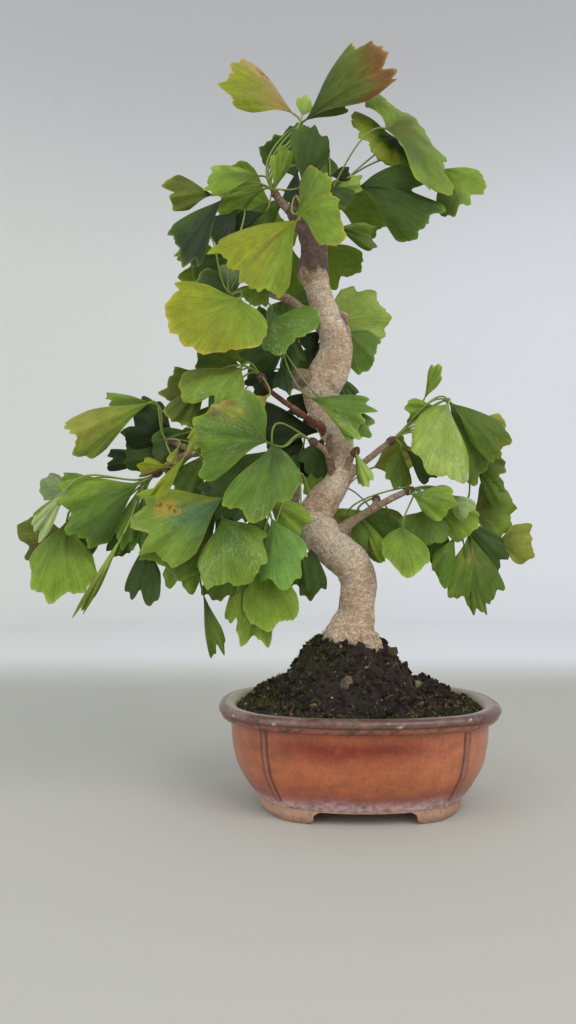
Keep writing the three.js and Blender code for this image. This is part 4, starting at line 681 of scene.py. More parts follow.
class Shader:
    """A material of nodes: each method adds some and gives the socket that comes out of them."""

    def __init__(self, name, roughness, **constants):
        self.material = bpy.data.materials.new(name)
        self.material.use_nodes = True
        self.nodes, self.links = self.material.node_tree.nodes, self.material.node_tree.links
        self.surface = self.nodes["Principled BSDF"].inputs
        self.surface["Roughness"].default_value = roughness
        for socket, value in constants.items():
            self.surface[socket.replace("_", " ")].default_value = value

    def add(self, kind, inputs=None, **settings):
        made = self.nodes.new(kind)
        for key, value in settings.items():
            setattr(made, key, value)
        for key, value in (inputs or {}).items():
            self.feed(value, made.inputs[key])
        return made

    def feed(self, value, socket):
        if isinstance(value, bpy.types.NodeSocket):
            self.links.new(value, socket)
        else:
            socket.default_value = value

    def attribute(self, name):
        made = self.add("ShaderNodeAttribute", attribute_name=name)
        return made.outputs["Color"] if name == "tone" else made.outputs["Vector"]

    def scaled(self, vector, scale):
        return self.add("ShaderNodeMapping", {"Vector": vector, "Scale": scale}).outputs["Vector"]

    def noise(self, vector, scale, detail=2.0, roughness=0.5, distortion=0.0):
        """Cloudy noise; a scale of three numbers stretches it along the axes."""
        if isinstance(scale, tuple):
            vector, scale = self.scaled(vector, scale), 1.0
        inputs = {"Vector": vector, "Scale": scale, "Detail": detail, "Roughness": roughness}
        return self.add("ShaderNodeTexNoise", {**inputs, "Distortion": distortion}).outputs["Fac"]

    def cells(self, vector, scale):
        """The distance from the middle of the cell that a point lies in."""
        if isinstance(scale, tuple):
            vector, scale = self.scaled(vector, scale), 1.0
        return self.add("ShaderNodeTexVoronoi", {"Vector": vector, "Scale": scale}).outputs["Distance"]

    def ramp(self, value, low, high, start=0.0, end=1.0):
        """value taken from low..high to start..end, smooth and clamped."""
        inputs = {"Value": value, "From Min": low, "From Max": high, "To Min": start, "To Max": end}
        return self.add("ShaderNodeMapRange", inputs, interpolation_type="SMOOTHSTEP").outputs["Result"]

    def spread(self, noise, start, end):
        return self.ramp(noise, NOISE_LOW, NOISE_HIGH, start, end)

    def math(self, operation, first, second=0.0):
        made = self.add("ShaderNodeMath", operation=operation)
        self.feed(first, made.inputs[0])
        self.feed(second, made.inputs[1])
        return made.outputs[0]

    def mix(self, share, first, second, blend="MIX"):
        made = self.add("ShaderNodeMix", data_type="RGBA", blend_type=blend)
        self.feed(share, made.inputs["Factor"])
        for value, socket in ((first, made.inputs[6]), (second, made.inputs[7])):
            self.feed(value if isinstance(value, bpy.types.NodeSocket) else (*value, 1.0), socket)
        return made.outputs[2]

    def scale_colour(self, base, value):
        """base times a grey value."""
        grey = self.add("ShaderNodeCombineColor", {"Red": value, "Green": value, "Blue": value}).outputs[0]
        return self.mix(1.0, base, grey, "MULTIPLY")

    def vary(self, base, noise, low, high):
        """base made from low to high times as bright by a noise."""
        return self.scale_colour(base, self.spread(noise, low, high))

    def tint(self, base, tone, value, low, high, share):
        """base under up to share of a tone, as value goes from low to high."""
        return self.mix(self.ramp(value, low, high, 0.0, share), base, colour(tone))

    def bump(self, height, distance, strength=1.0, under=None):
        inputs = {"Height": height, "Distance": distance, "Strength": strength}
        if under is not None:
            inputs["Normal"] = under
        return self.add("ShaderNodeBump", inputs).outputs["Normal"]

    def finish(self, base, roughness=None, normal=None):
        for socket, value in (("Base Color", base), ("Roughness", roughness), ("Normal", normal)):
            if value is not None:
                self.links.new(value, self.surface[socket])
        return self.material


def leaf_material():
    """Thin blades: fine veins that fan out from the stalk, whitish specks and blotches of rust."""
    shade = Shader("leaf", 0.5, Specular_IOR_Level=0.2)
    fan = shade.attribute("pattern")
    marks = shade.add("ShaderNodeSeparateXYZ", {"Vector": shade.attribute("marks")}).outputs
    veins = shade.noise(fan, (1.5, 0.04, 1))
    mottle = shade.noise(fan, 0.14, 4.0, 0.6)
    base = shade.vary(shade.attribute("tone"), veins, 0.84, 1.12)
    base = shade.vary(base, mottle, 0.84, 1.12)
    base = shade.vary(base, shade.noise(fan, 0.8, 3.0, 0.6), 0.92, 1.06)
    specks = shade.ramp(shade.noise(fan, 0.5, 4.0, 0.75), 0.46, 0.72, 0.0, 0.75)
    base = shade.mix(shade.math("MULTIPLY", specks, marks["X"]), base, colour("white"))
    rust = shade.math("ADD", marks["Y"], shade.noise(fan, 0.4, 4.0, 0.7))
    base = shade.tint(base, "gold", rust, 0.88, 1.04, 0.6)
    base = shade.tint(base, "rust", rust, 1.02, 1.12, 0.9)
    base = shade.tint(base, "brown", rust, 1.16, 1.26, 0.9)
    normal = shade.bump(veins, 0.0004, 0.6, shade.bump(mottle, 0.0012, 0.35))
    return shade.finish(base, shade.spread(mottle, 0.44, 0.58), normal)


def bark_material():
    """Pale bark: wrinkles round the stem, fibres along it, warm patches, cracks, warts and dark pores."""
    shade = Shader("bark", 0.85)
    grain = shade.attribute("pattern")
    wrinkles = shade.noise(grain, (0.16, 0.16, 1.25), 3.5, 0.52, 0.7)
    fibres = shade.noise(grain, (1.2, 1.2, 0.2), 3.0, 0.55)
    patches = shade.noise(grain, 0.13, 5.0, 0.7)
    cracks = shade.math("SUBTRACT", shade.noise(grain, (0.5, 0.5, 0.3), 5.0, 0.7), 0.5)
    cracks = shade.math("ABSOLUTE", cracks)
    pores = shade.cells(grain, (0.3, 0.3, 0.42))
    warts = shade.cells(grain, (0.34, 0.34, 0.6))
    base = shade.vary(shade.attribute("tone"), wrinkles, 0.8, 1.18)
    base = shade.vary(base, fibres, 0.92, 1.08)
    base = shade.tint(base, "#e0d0ba", patches, 0.52, 0.7, 0.4)
    base = shade.tint(base, "#b49276", patches, 0.44, 0.3, 0.3)
    base = shade.tint(base, "#4e382a", cracks, 0.025, 0.0, 0.4)
    base = shade.scale_colour(base, shade.ramp(warts, 0.3, 0.12, 1.0, 1.28))
    base = shade.tint(base, "#6a4a36", pores, 0.19, 0.09, 0.6)
    height = shade.math("ADD", shade.math("MULTIPLY", fibres, 0.6), wrinkles)
    normal = shade.bump(shade.ramp(cracks, 0.0, 0.05), 0.0008, 0.6, shade.bump(height, 0.0022, 0.9))
    normal = shade.bump(shade.ramp(warts, 0.34, 0.1), 0.0006, 0.7, normal)
    return shade.finish(base, shade.ramp(wrinkles, 0.4, 0.7, 0.92, 0.75), normal)


def glaze_material():
    """Worn glossy glaze: fine light speckle, cloudy patches, runs and small pits."""
    shade = Shader("glaze", 0.3, Coat_Weight=0.25, Coat_Roughness=0.2)
    place_mm = shade.attribute("pattern")
    speckle = shade.noise(place_mm, 1.3, 4.0, 0.7)
    clouds = shade.noise(shade.scaled(place_mm, (1, 1, 1.6)), 0.09, 4.0, 0.6, 0.4)
    base = shade.vary(shade.attribute("tone"), clouds, 0.84, 1.14)
    base = shade.vary(base, shade.noise(place_mm, (0.9, 0.9, 0.1), 4.0, 0.6), 0.9, 1.1)
    base = shade.tint(base, "#d8a070", speckle, 0.58, 0.75, 0.4)
    base = shade.tint(base, "#6a3226", speckle, 0.36, 0.24, 0.4)
    base = shade.tint(base, "#4a2a22", shade.cells(place_mm, 0.32), 0.13, 0.07, 0.5)
    normal = shade.bump(clouds, 0.0012, 0.3, shade.bump(speckle, 0.0002, 0.4))
    return shade.finish(base, shade.spread(speckle, 0.26, 0.46), normal)


def clay_material():
    """Bare fired clay, rubbed and stained."""
    shade = Shader("clay", 0.8)
    place_mm = shade.attribute("pattern")
    grit = shade.noise(place_mm, 1.1, 5.0, 0.7)
    base = shade.vary(shade.attribute("tone"), grit, 0.8, 1.15)
    base = shade.tint(base, "#7c5a44", shade.noise(place_mm, 0.18, 3.0, 0.6), 0.52, 0.7, 0.55)
    return shade.finish(base, shade.spread(grit, 0.7, 0.92), shade.bump(grit, 0.0004, 0.6))


def earth_material():
    """Soil, moss, roots and grit: the tone with a crumbly bump."""
    shade = Shader("earth", 0.95, Specular_IOR_Level=0.25)
    place_mm = shade.attribute("pattern")
    crumbs = shade.noise(place_mm, 0.9, 5.0, 0.75)
    fine = shade.noise(place_mm, 3.0, 3.0, 0.7)
    base = shade.vary(shade.vary(shade.attribute("tone"), crumbs, 0.6, 1.35), fine, 0.75, 1.2)
    return shade.finish(base, None, shade.bump(crumbs, 0.0015, 0.8, shade.bump(fine, 0.0005, 0.8)))


def screen_material():
    """Dark moulded plastic, a little dusty."""
    shade = Shader("screen", 0.6)
    place_m = shade.add("ShaderNodeTexCoord").outputs["Object"]
    dust = shade.noise(place_m, 300.0, 4.0, 0.6)
    base = shade.tint(colour("#22241f"), "#4a4438", dust, 0.45, 0.7, 0.4)
    grain = shade.bump(shade.noise(place_m, 2500.0), 0.0001, 0.3)
    return shade.finish(base, shade.spread(dust, 0.5, 0.8), grain)


def stage_material():
    """A plain floor and wall with painted light and shade: a little darker in front, high up and to the
    left.
    """
    shade = Shader("stage", 0.9, Specular_IOR_Level=0.1)
    place_m = shade.add("ShaderNodeNewGeometry").outputs["Position"]
    axes = shade.add("ShaderNodeSeparateXYZ", {"Vector": place_m}).outputs
    base = shade.tint(colour("#e9ebe5"), "#f4f5f8", axes["X"], -0.9, 1.0, 1.0)
    base = shade.tint(base, "#cfcfcf", axes["Z"], 0.9, 2.0, 1.0)
    return shade.finish(shade.mix(shade.ramp(axes["Y"], 0.4, 0.8), colour("#bfbeb5"), base))


# ---------------------------------------------------------------- leaves

BLADE_THICK, MARGIN_THICK = 0.5, 0.3            # about a real leaf's, thinner than the solid's
FIRST_ROW = 0.03            # where the blade starts, as a share of its length: as wide there as its stalk
TOOTH, TOOTH_SIZE = 0.038, 3.2      # the fine teeth of the margin: their depth as a share, their width
NOTCH, NOTCH_SIZE = 0.07, 7         # its uneven lobes
PLEAT, PLEAT_SIZE = 0.3, 4.5        # the shallow pleats that run out along the veins
CURL, CURL_SIZE = 2.2, 13           # the margin's slow curl up and down
CURL_FULL = 40                      # blades shorter than this curl less
LOBE_WAVES, RIPPLE_WAVES = (7, 13), (6, 11)     # how often the lobes and ripples turn, as in the solids
STALK_SIDES, STALK_STEPS = 8, 14
STALK_END, STALK_THIN = 0.95, 0.62  # a stalk's radius at its ends and at its middle
STALK_TIP = ((1.5, 0.5), (4.0, 0.12))           # how far it runs into the blade, and its radius there
BACK_PALER = 0.35
HEART_SHADE = 0.8           # how dark a blade is by its stalk: painted shade that lifts towards the margin
SIDE_SHARE, STREAK_SHARE, SPOT_SHARE = 0.85, 0.5, 0.7       # how strongly each mark colours the blade
STREAK_WIDTH = 0.05
RIM_WIDTH, RIM_SHARE, RIM_LIGHT = 2.2, 0.65, 1.1
RIM_SPOT, RUST_SHARE = 0.9, 0.62    # spots further out than this colour the rim evenly
ACROSS_PER_MM, ACROSS = 1.4, (22, 80)           # points across a fan: for each mm of its size, and limits
OUT_PER_MM, OUT, OUT_DENSE = 0.3, (7, 16), 1.3  # rows outwards, closer together by the margin
CORNER_DENSE = 0.3          # how much closer together the points lie by the two rounded corners
FAN_APART = 3.7             # keeps one blade's veins from being another's


def blade_frame(row, seed):
    """The directions and sizes that a blade is bent from, as in the solids."""
    base = np.array(row["base"], float)
    to_first = np.array(row["first"], float) - base
    to_second = np.array(row["second"], float) - base
    lengths = (np.linalg.norm(to_first), np.linalg.norm(to_second))
    to_first, to_second = to_first / lengths[0], to_second / lengths[1]
    axis, side = unit(to_first + to_second), unit(to_second - to_first)
    face = np.cross(side, axis)
    flipped = face[1] > 0
    return dict(base=base, axis=axis, side=side, face=-face if flipped else face, flipped=flipped,
                half=FAN_SPREAD * np.arccos(np.dot(to_first, to_second)) / 2,
                size=sum(lengths) / 2, lengths=lengths,
                phase=[2 * pi * draw(seed * 7 + k) for k in (1, 2, 3, 4)])


def waves(s, counts, strengths, phases):
    """Two waves across a fan, added up."""
    return sum(strength * np.sin(count * s + phase)
               for count, strength, phase in zip(counts, strengths, phases))


def blade_points(row, frame, s, t, seed):
    """The middle surface of a blade at s across and t outwards, with finer forms added to the solid's."""
    size, half, phase = frame["size"], frame["half"], frame["phase"]
    arc = s * half * size
    first, second = frame["lengths"]
    outline = first + (second - first) * (s + 1) / 2
    outline = outline * (1 + row["reach"] * (1 - s * s))
    lobes = LOBE_DEPTH * waves(s, LOBE_WAVES, (1, 0.6), phase[:2])
    outline = outline * (1 - CORNER_ROUND * s ** 8 - row["split"] * np.exp(-(s / SPLIT_WIDTH) ** 2) + lobes)
    teeth = cloudy(stack(arc / TOOTH_SIZE, 0.0, float(seed)), 1, 3, 5)
    notches = cloudy(stack(arc / NOTCH_SIZE, 5.0, float(seed)), 1, 2, 6)
    outline = outline * (1 + (TOOTH * teeth + NOTCH * notches) * t ** 8)
    waist = EDGE_WAIST + (1 - EDGE_WAIST) * np.sin(pi / 2 * np.minimum(1, 1.15 * t))
    angle = s * half * waist
    ripple = min(RIPPLE, size * RIPPLE_SHARE)
    lift = (row["cup"] * (1 - s * s) * t ** 1.3 + row["arch"] * np.sin(pi * t) * (1 - 0.4 * s * s)
            + ripple * t * t * waves(s, RIPPLE_WAVES, (0.6, 0.4), phase[2:]))
    lift = lift + PLEAT * t * smooth_noise(stack(arc / PLEAT_SIZE, t * 1.5, float(seed)), 8)
    curl = CURL * min(1, size / CURL_FULL)
    lift = lift + curl * t ** 4 * smooth_noise(stack(arc / CURL_SIZE, 0.0, float(seed)), 9)
    radius = outline * t
    return (frame["base"] + (radius * np.cos(angle))[..., None] * frame["axis"]
            + (radius * np.sin(angle))[..., None] * frame["side"] + lift[..., None] * frame["face"])


def blade_colours(row, size, half, s, t, seed):
    """The colours of a blade's points, and their shares of whitish specks and of rust."""
    marks = row["marks"]
    fan = stack(s * half * 3, t * 3, float(seed))
    patch = cloudy(fan, 1, 3, 20)
    # left and right: partly the blade's own colour, partly painted shade and light of a fold
    parts = [("left", rise(0.05, 0.95, -s + 0.35 * patch)), ("right", rise(0.05, 0.95, s + 0.35 * patch)),
             ("tip", rise(0.35, 0.95, t + 0.15 * patch)), ("heart", rise(0.75, 0.1, t + 0.15 * patch))]
    base = painted(np.broadcast_to(colour(row["tone"]), (*s.shape, 3)),
                   *[(marks[name], SIDE_SHARE * share) for name, share in parts if name in marks])
    for place_s, name in marks.get("streaks", []):
        share = np.exp(-((s - place_s + 0.03 * patch) / STREAK_WIDTH) ** 2)
        share = share * rise(0.15, 0.4, t) * rise(1.0, 0.8, t)
        base = painted(base, (name, STREAK_SHARE * share))
    specks = marks.get("bloom", 0.0) * rise(-0.3, 0.6, cloudy(fan, 0.8, 2, 30))
    rust = np.zeros(s.shape)
    for place_s, place_t, radius, name in marks.get("spots", []):
        away = np.hypot((s - place_s) * half * t, t - place_t) / radius
        share = rise(1.3, 0.2, away)
        if name == "white":
            specks = np.maximum(specks, share)
        elif name in ("rust", "brown") and place_t < RIM_SPOT:
            rust = np.maximum(rust, RUST_SHARE * share)
        else:
            base = painted(base, (name, SPOT_SHARE * rise(1.1, 0.2, away + 0.3 * patch)))
    rim = np.maximum(rise(1 - RIM_WIDTH / size, 1.0, t), rise(0.95, 1.0, np.abs(s)) * 0.7)
    base = blend_colours(base, colour(marks.get("rim", row["tone"])) * RIM_LIGHT, RIM_SHARE * rim)
    # painted shade: the blade darker by its stalk and lighter outwards, with a little random variation
    base = base * ((HEART_SHADE + (1 - HEART_SHADE) * t) * (1 + 0.1 * patch))[..., None]
    return base, stack(specks, rust, 0.0)


def add_blade(soup, row, frame, seed):
    """Two skins that share their outline, so the blade is one closed thin form."""
    size, half = frame["size"], frame["half"]
    columns = int(np.clip(size * ACROSS_PER_MM, *ACROSS)) // 2 * 2
    rows = int(np.clip(size * OUT_PER_MM, *OUT))
    t = FIRST_ROW + (1 - FIRST_ROW) * (1 - (1 - np.linspace(0, 1, rows + 1)) ** OUT_DENSE)
    across = np.linspace(-1, 1, columns + 1)
    t, s = np.meshgrid(t, across * (1 + CORNER_DENSE * (1 - across ** 2)), indexing="ij")
    middle = blade_points(row, frame, s, t, seed)
    normals = unit(np.cross(np.gradient(middle, axis=1), np.gradient(middle, axis=0)))
    if frame["flipped"]:
        normals = -normals
    inner = np.zeros(s.shape, bool)
    inner[1:-1, 1:-1] = True
    half_thick = (BLADE_THICK + (MARGIN_THICK - BLADE_THICK) * t) / 2 * inner
    front_points = middle + normals * half_thick[..., None]
    back_points = (middle - normals * half_thick[..., None])[inner]
    count = s.size
    back_index = np.arange(count).reshape(s.shape)
    back_index[inner] = count + np.arange(inner.sum())
    front_faces = grid_faces(rows + 1, columns + 1, False)
    back_faces = back_index.reshape(-1)[front_faces][:, ::-1]
    if not frame["flipped"]:
        front_faces, back_faces = front_faces[:, ::-1], back_faces[:, ::-1]
    faces = np.concatenate([front_faces, back_faces])
    front, marks = blade_colours(row, size, half, s, t, seed)
    back = painted(front, ("grey", BACK_PALER))
    fan = stack(s * half * size, t * size, seed * FAN_APART)
    soup.add(np.concatenate([front_points.reshape(-1, 3), back_points]), faces,
             np.concatenate([front.reshape(-1, 3), back[inner]]),
             np.concatenate([fan.reshape(-1, 3), fan[inner]]),
             marks=np.concatenate([marks.reshape(-1, 3), marks[inner]]))


def add_stalk(soup, bud, outward, frame, tone):
    """A stalk leaves the bud along the spur and runs a little way into its blade."""
    base, axis = frame["base"], frame["axis"]
    pull = np.linalg.norm(base - bud) * STALK_PULL
    t = np.linspace(0, 1, STALK_STEPS)[:, None]
    knots = (bud, bud + outward * pull, base - axis * pull, base)
    path = sum(k * knot * t ** i * (1 - t) ** (3 - i)
               for i, (k, knot) in enumerate(zip((1, 3, 3, 1), knots)))
    path = np.concatenate([path, [base + axis * reach for reach, _ in STALK_TIP]])
    along = np.linspace(0, 1, len(path))
    radii = STALK_THIN + (STALK_END - STALK_THIN) * np.abs(2 * along - 1) ** 3
    radii[-len(STALK_TIP):] = [radius for _, radius in STALK_TIP]
    tones = painted("stalk", (tone, rise(0.5, 1.0, along)))
    add_tube(soup, path, radii, STALK_SIDES, tones, patterns=(0, 0, 0), start=frame["side"])


BUD_SIDES, BUD_RINGS, BUD_SCALE_RISE, BUD_SCALE = 12, 22, 0.5, 1.5
BUD_ALONG = (-1.2, 0, 1.2, 2.6, 4.2, 5.4, BUD_LENGTH)       # from just inside the spur to the bud's tip
BUD_RADII = (2.7, 2.9, 3.0, 3.0, 2.1, 1.3, 0.5)


def add_bud(soup, tip, outward, seed):
    """A spur's blunt bud, ringed with the overlapping scales and scars of former leaves."""
    along = np.linspace(BUD_ALONG[0], BUD_LENGTH, BUD_RINGS)
    radii = np.interp(along, BUD_ALONG, BUD_RADII)
    path = tip + outward * (along + TOUCH)[:, None]
    points, quads, caps = tube(path, radii, BUD_SIDES)
    ring = np.repeat(np.arange(BUD_RINGS), BUD_SIDES)
    side = np.tile(np.arange(BUD_SIDES), BUD_RINGS)
    scale = (along[ring] / BUD_SCALE + 0.5 * np.sin(side * pi / 2 + seed)) % 1
    out = unit(points[:-2] - path[ring])
    points[:-2] += out * (BUD_SCALE_RISE * (scale - 0.5))[:, None]
    tones = painted("bud", ("bud_tip", rise(0.5, 1.0, scale)))
    tones = np.concatenate([tones, [colour("bud"), colour("stalk")]])
    soup.add(points, quads, tones, slot=1, caps=caps)


def spur_end(limb):
    tip, before = np.array(LIMBS[limb][-1][:3], float), np.array(LIMBS[limb][-2][:3], float)
    return tip, unit(tip - before)


def rosette_rows(limb, blades, stalk, length, seed):
    """The rows of a rosette, drawn by the same rule as in the solids."""
    tip, outward = spur_end(limb)
    level = unit(np.cross((0, 0, 1), outward))
    upward = np.cross(outward, level)
    rows = []
    for i in range(blades):
        turn = 2 * pi * (i + ROSETTE_TURN * draw(seed + i)) / blades
        radial = level * cos(turn) + upward * sin(turn)
        reach = stalk * np.interp(draw(seed + 10 + i), (0, 1), ROSETTE_STALK)
        size = length * np.interp(draw(seed + 20 + i), (0, 1), ROSETTE_LENGTH)
        base = tip + outward * reach * ROSETTE_FORWARD + radial * reach * ROSETTE_SIDEWAYS
        axis = unit(radial + outward * ROSETTE_LEAN - np.array((0, 0, ROSETTE_HANG)))
        side = unit(np.cross(outward, axis))
        half = np.interp(draw(seed + 30 + i), (0, 1), ROSETTE_HALF)
        corners = [base + axis * size * cos(half) + side * way * size * sin(half) for way in (-1, 1)]
        tone = ROSETTE_TONES[int(draw(seed + 50 + i) * len(ROSETTE_TONES))]
        split = ROSETTE_SPLIT * draw(seed + 40 + i)
        rows.append(leaf(base, *corners, tone, split=split, rim="leaf", **ROSETTE_BEND))
    return rows


def make_spray(name, limb, rows, seed, materials):
    soup = Soup()
    tip, outward = spur_end(limb)
    add_bud(soup, tip, outward, seed)
    heart = tip + outward * (BUD_HEART + TOUCH)
    for i, row in enumerate(rows + BEHIND.get(name, [])):
        frame_of_blade = blade_frame(row, seed + i)
        add_blade(soup, row, frame_of_blade, seed + i)
        add_stalk(soup, heart, outward, frame_of_blade, row["marks"].get("heart", row["tone"]))
    made = soup.piece(name + "_fine", materials)
    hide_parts(name)
    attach(made, "root")


# ---------------------------------------------------------------- wood

WOOD_VOXEL = 0.95
SAMPLE_STEP = 2.0
WOOD_SMOOTHING = 6
TRUNK_SIDES, LIMB_SIDES = 40, 16
LIMB_MARGIN = 30            # how far round a limb's path its bark is looked for
LIMB_SPACING = 200.0        # how far apart the limbs' grains lie, so that no two are alike
STOUT = ("trunk", "stub", "pruned_stump")
TWIG_SHARE = 0.74           # how thick a twig is beside its solid, which can't be as thin
TWIG_FROM = 0.15            # how far along it that thickness is reached


def wood_paths():
    """Each limb and the trunk as smooth rows of x, y, z and radius."""
    paths = {name: spline(stations, SAMPLE_STEP) for name, stations in {"trunk": TRUNK, **LIMBS}.items()}
    for name, rows in paths.items():
        if name not in STOUT and not name.startswith("root"):
            along = np.linspace(0, 1, len(rows))
            rows[:, 3] *= np.interp(along, (0, TWIG_FROM, 1), (1, TWIG_SHARE, TWIG_SHARE))
    return paths


def melted_tubes(paths):
    """The trunk and limbs joined into one skin, with their joints smoothed: a mesh in metres."""
    soup = Soup()
    for name, rows in paths.items():
        sides = TRUNK_SIDES if name == "trunk" else LIMB_SIDES
        add_tube(soup, rows[:, :3], rows[:, 3], sides, (1, 1, 1))
    rough = soup.piece("wood_rough", [])
    remesh = rough.modifiers.new("melt", "REMESH")
    remesh.mode = "VOXEL"
    remesh.voxel_size = WOOD_VOXEL * MM
    smooth = rough.modifiers.new("soften", "SMOOTH")
    smooth.iterations = WOOD_SMOOTHING
    mesh = modified(rough)
    bpy.data.objects.remove(rough)
    return mesh


def straightened(points, paths):
    """For each point its limb, and its place if that limb were straight: x and y across it, z along."""
    best = np.full(len(points), np.inf)
    limb = np.zeros(len(points), int)
    straight = np.zeros((len(points), 3))
    for index, rows in enumerate(paths.values()):
        path, radii = rows[:, :3], rows[:, 3]
        tangents, across, up = carried_frames(path)
        along = lengths_along(path)
        low, high = path.min(0) - LIMB_MARGIN, path.max(0) + LIMB_MARGIN
        near = np.flatnonzero(((points > low) & (points < high)).all(1))
        away = np.linalg.norm(points[near, None] - path[None], axis=2) - radii[None]
        station = away.argmin(1)
        closest = away[np.arange(len(near)), station]
        better = closest < best[near]
        near, station = near[better], station[better]
        best[near] = closest[better]
        limb[near] = index
        offset = points[near] - path[station]
        forward = along[station] + (offset * tangents[station]).sum(1) + LIMB_SPACING * index
        straight[near] = stack((offset * across[station]).sum(1), (offset * up[station]).sum(1), forward)
    return limb, straight


BARK, TWIG, CUT = "#f0d6b6", "#9a8068", "#dcc4a0"
LIMB_TONES = [      # limb, tone, share
    ("long_shoot", "#8a4f3c", 0.95), ("crown_bud", "#6e4638", 0.9), ("crown_top", "#7a5c50", 0.7),
    ("crown_front", "#7a5c50", 0.7), ("crown_right", "#7a5c50", 0.7), ("front_shoot", "#8a6a54", 0.8),
    ("pruned_stump", "#b09678", 0.8), ("stub", "#a88e78", 0.9), ("grey_stub", "#8c8070", 0.9),
]
# Heights over which the bark's tones and the painted light change, from where a tone is missing to where it
# is full.
DARK_TOP, DARK_SEAM = (369, 376), (368, 3)      # the trunk's dark top, and the middle and half of its rim
CUT_FROM, PAINTED_LIGHT_FOOT = (340, 344), (180, 150)   # the pruned stump's pale end, and the trunk's lower part, lighter with painted light where no leaves shade it
COLLAR, COLLAR_MOSS, COLLAR_GREEN, SOILED = (124, 112), (116, 106), (108, 100), (102, 94)
SPLIT_X, SPLIT_Z, SPLIT_LEAN = -9, 338, 0.35    # the dark split high on the trunk leans to the left
SPLIT_HALF_WIDE, SPLIT_MIDDLE, SPLIT_HALF_HIGH = 1.3, 336, 9


def wood_colours(points, limb, straight, names):
    """Pale trunk with a dark top, browner twigs, painted light on the trunk's lower part, and a stained and
    mossy foot.
    """
    x, y, z = points.T
    is_trunk = limb == 0
    is_stump = limb == names.index("pruned_stump")
    patch = cloudy(straight, 14, 3, 60)
    fleck = cloudy(straight / (1, 1, 1.8), 1.6, 3, 61)
    ragged = cloudy(straight / (1, 1, 3), 3.5, 3, 62)
    dark = rise(*DARK_TOP, z + 3 * patch + 7 * ragged) * is_trunk
    seam = np.exp(-((z + 5 * ragged - DARK_SEAM[0]) / DARK_SEAM[1]) ** 2) * is_trunk
    aside = (x - SPLIT_X + (z - SPLIT_Z) * SPLIT_LEAN) / SPLIT_HALF_WIDE
    crack = np.exp(-aside ** 2 - ((z - SPLIT_MIDDLE) / SPLIT_HALF_HIGH) ** 2) * (y < 2)
    tones = painted(BARK,
                    ("#c4a280", 0.7 * rise(-0.2, 0.7, patch)),
                    ("#f0dfc6", 0.8 * rise(0.0, 0.7, -patch)),
                    ("#80604a", 0.22 * rise(0.25, 0.6, fleck) * is_trunk),
                    (TWIG, 0.75 * ~is_trunk),
                    *[(tone, share * (limb == names.index(name))) for name, tone, share in LIMB_TONES],
                    ("#5e483e", 0.92 * dark),
                    ("#c09c78", 0.7 * seam),
                    (CUT, 0.9 * rise(*CUT_FROM, z) * is_stump),
                    ("#4a3428", 0.85 * np.clip(crack, 0, 1)))
    # painted light: the trunk's lower part made lighter, as no leaves shade it
    tones = tones * (1 + 0.16 * rise(*PAINTED_LIGHT_FOOT, z) * is_trunk)[:, None]
    collar = rise(*COLLAR, z)
    moss = collar * rise(-6, -20, x + 6 * patch) * rise(*COLLAR_MOSS, z)
    moss = moss + rise(*COLLAR_GREEN, z) * rise(0.1, 0.6, patch)
    return painted(tones,
                   ("#e2c8a6", 0.7 * collar),
                   ("#86644c", 0.7 * collar * rise(-0.1, 0.5, fleck)),
                   ("#5c6a34", 0.75 * np.clip(moss, 0, 1)),
                   ("#3a2c22", 0.7 * rise(*SOILED, z + 4 * patch)))


FIBRES_FROM, COLLAR_LUMPS = (376, 384), (126, 108)


def bark_relief(points, limb, straight):
    """How far the bark stands out at each point: lumps, scaly plates and the fibres of the dark top."""
    z = points[:, 2]
    strength = np.where(limb == 0, 1.0, 0.4)
    lumps = cloudy(straight, 9, 2, 70) * 0.5
    folds = cloudy(straight / (5, 5, 1), 2.6, 2, 74) * 0.2 * (limb == 0)
    plates = np.abs(cloudy(straight / (1, 1, 1.7), 3.2, 3, 71)) * -0.75
    fibres = cloudy(straight / (1, 1, 6), 1.7, 2, 72) * rise(*FIBRES_FROM, z) * 0.7
    collar = cloudy(straight, 5, 3, 73) * rise(*COLLAR_LUMPS, z) * 1.5
    return strength * (lumps + folds + plates + fibres + 0.25) + collar


def make_wood(materials):
    paths = wood_paths()
    mesh = melted_tubes(paths)
    points, normals = mesh_points(mesh), np.empty(len(mesh.vertices) * 3)
    mesh.vertex_normals.foreach_get("vector", normals)
    limb, straight = straightened(points, paths)
    points = points + normals.reshape(-1, 3) * bark_relief(points, limb, straight)[:, None]
    mesh.vertices.foreach_set("co", place(points).ravel())
    finish_mesh(mesh, materials, NO_EDGE)
    paint(mesh, wood_colours(points, limb, straight, list(paths)), straight)
    made = add_object("wood_fine", mesh)
    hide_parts("wood")
    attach(made, "root")


# ---------------------------------------------------------------- pot

# Runs of the pot's section, each smooth in itself, from the underside round the lip to the floor inside:
# half width, half depth, height.
POT_SECTION = [
    [(66, 50.5, POT_BASE_Z), (70, 54, 9.3), (73.5, 56.3, 12.5), (78, 59.2, 19), (84.5, 63.6, 31),
     (87.4, 66, 44), (88.2, 67.2, 54), (88.6, 67.6, 59)],
    [(88.6, 67.6, 59), (89.8, 68.6, 60.2), (92.4, 70.4, 60.5), (94.4, 72.0, 61.6), (95.3, 72.8, 63.4),
     (95.2, 72.6, 64.8)],
    [(95.2, 72.6, 64.8), (96.6, 73.6, 65.6), (96.7, 73.6, 67.4), (95.5, 72.5, 69.3), (93, 70.4, 70.1),
     (89, 66.8, 70.0), (86.2, 64.2, 68.9), (84, 62.8, 66)],
    [(84, 62.8, 66), (79, 58, 40), (64.5, 46.5, 20), (61, 43, POT_FLOOR_Z)],
]
SECTION_STEP = 1.1
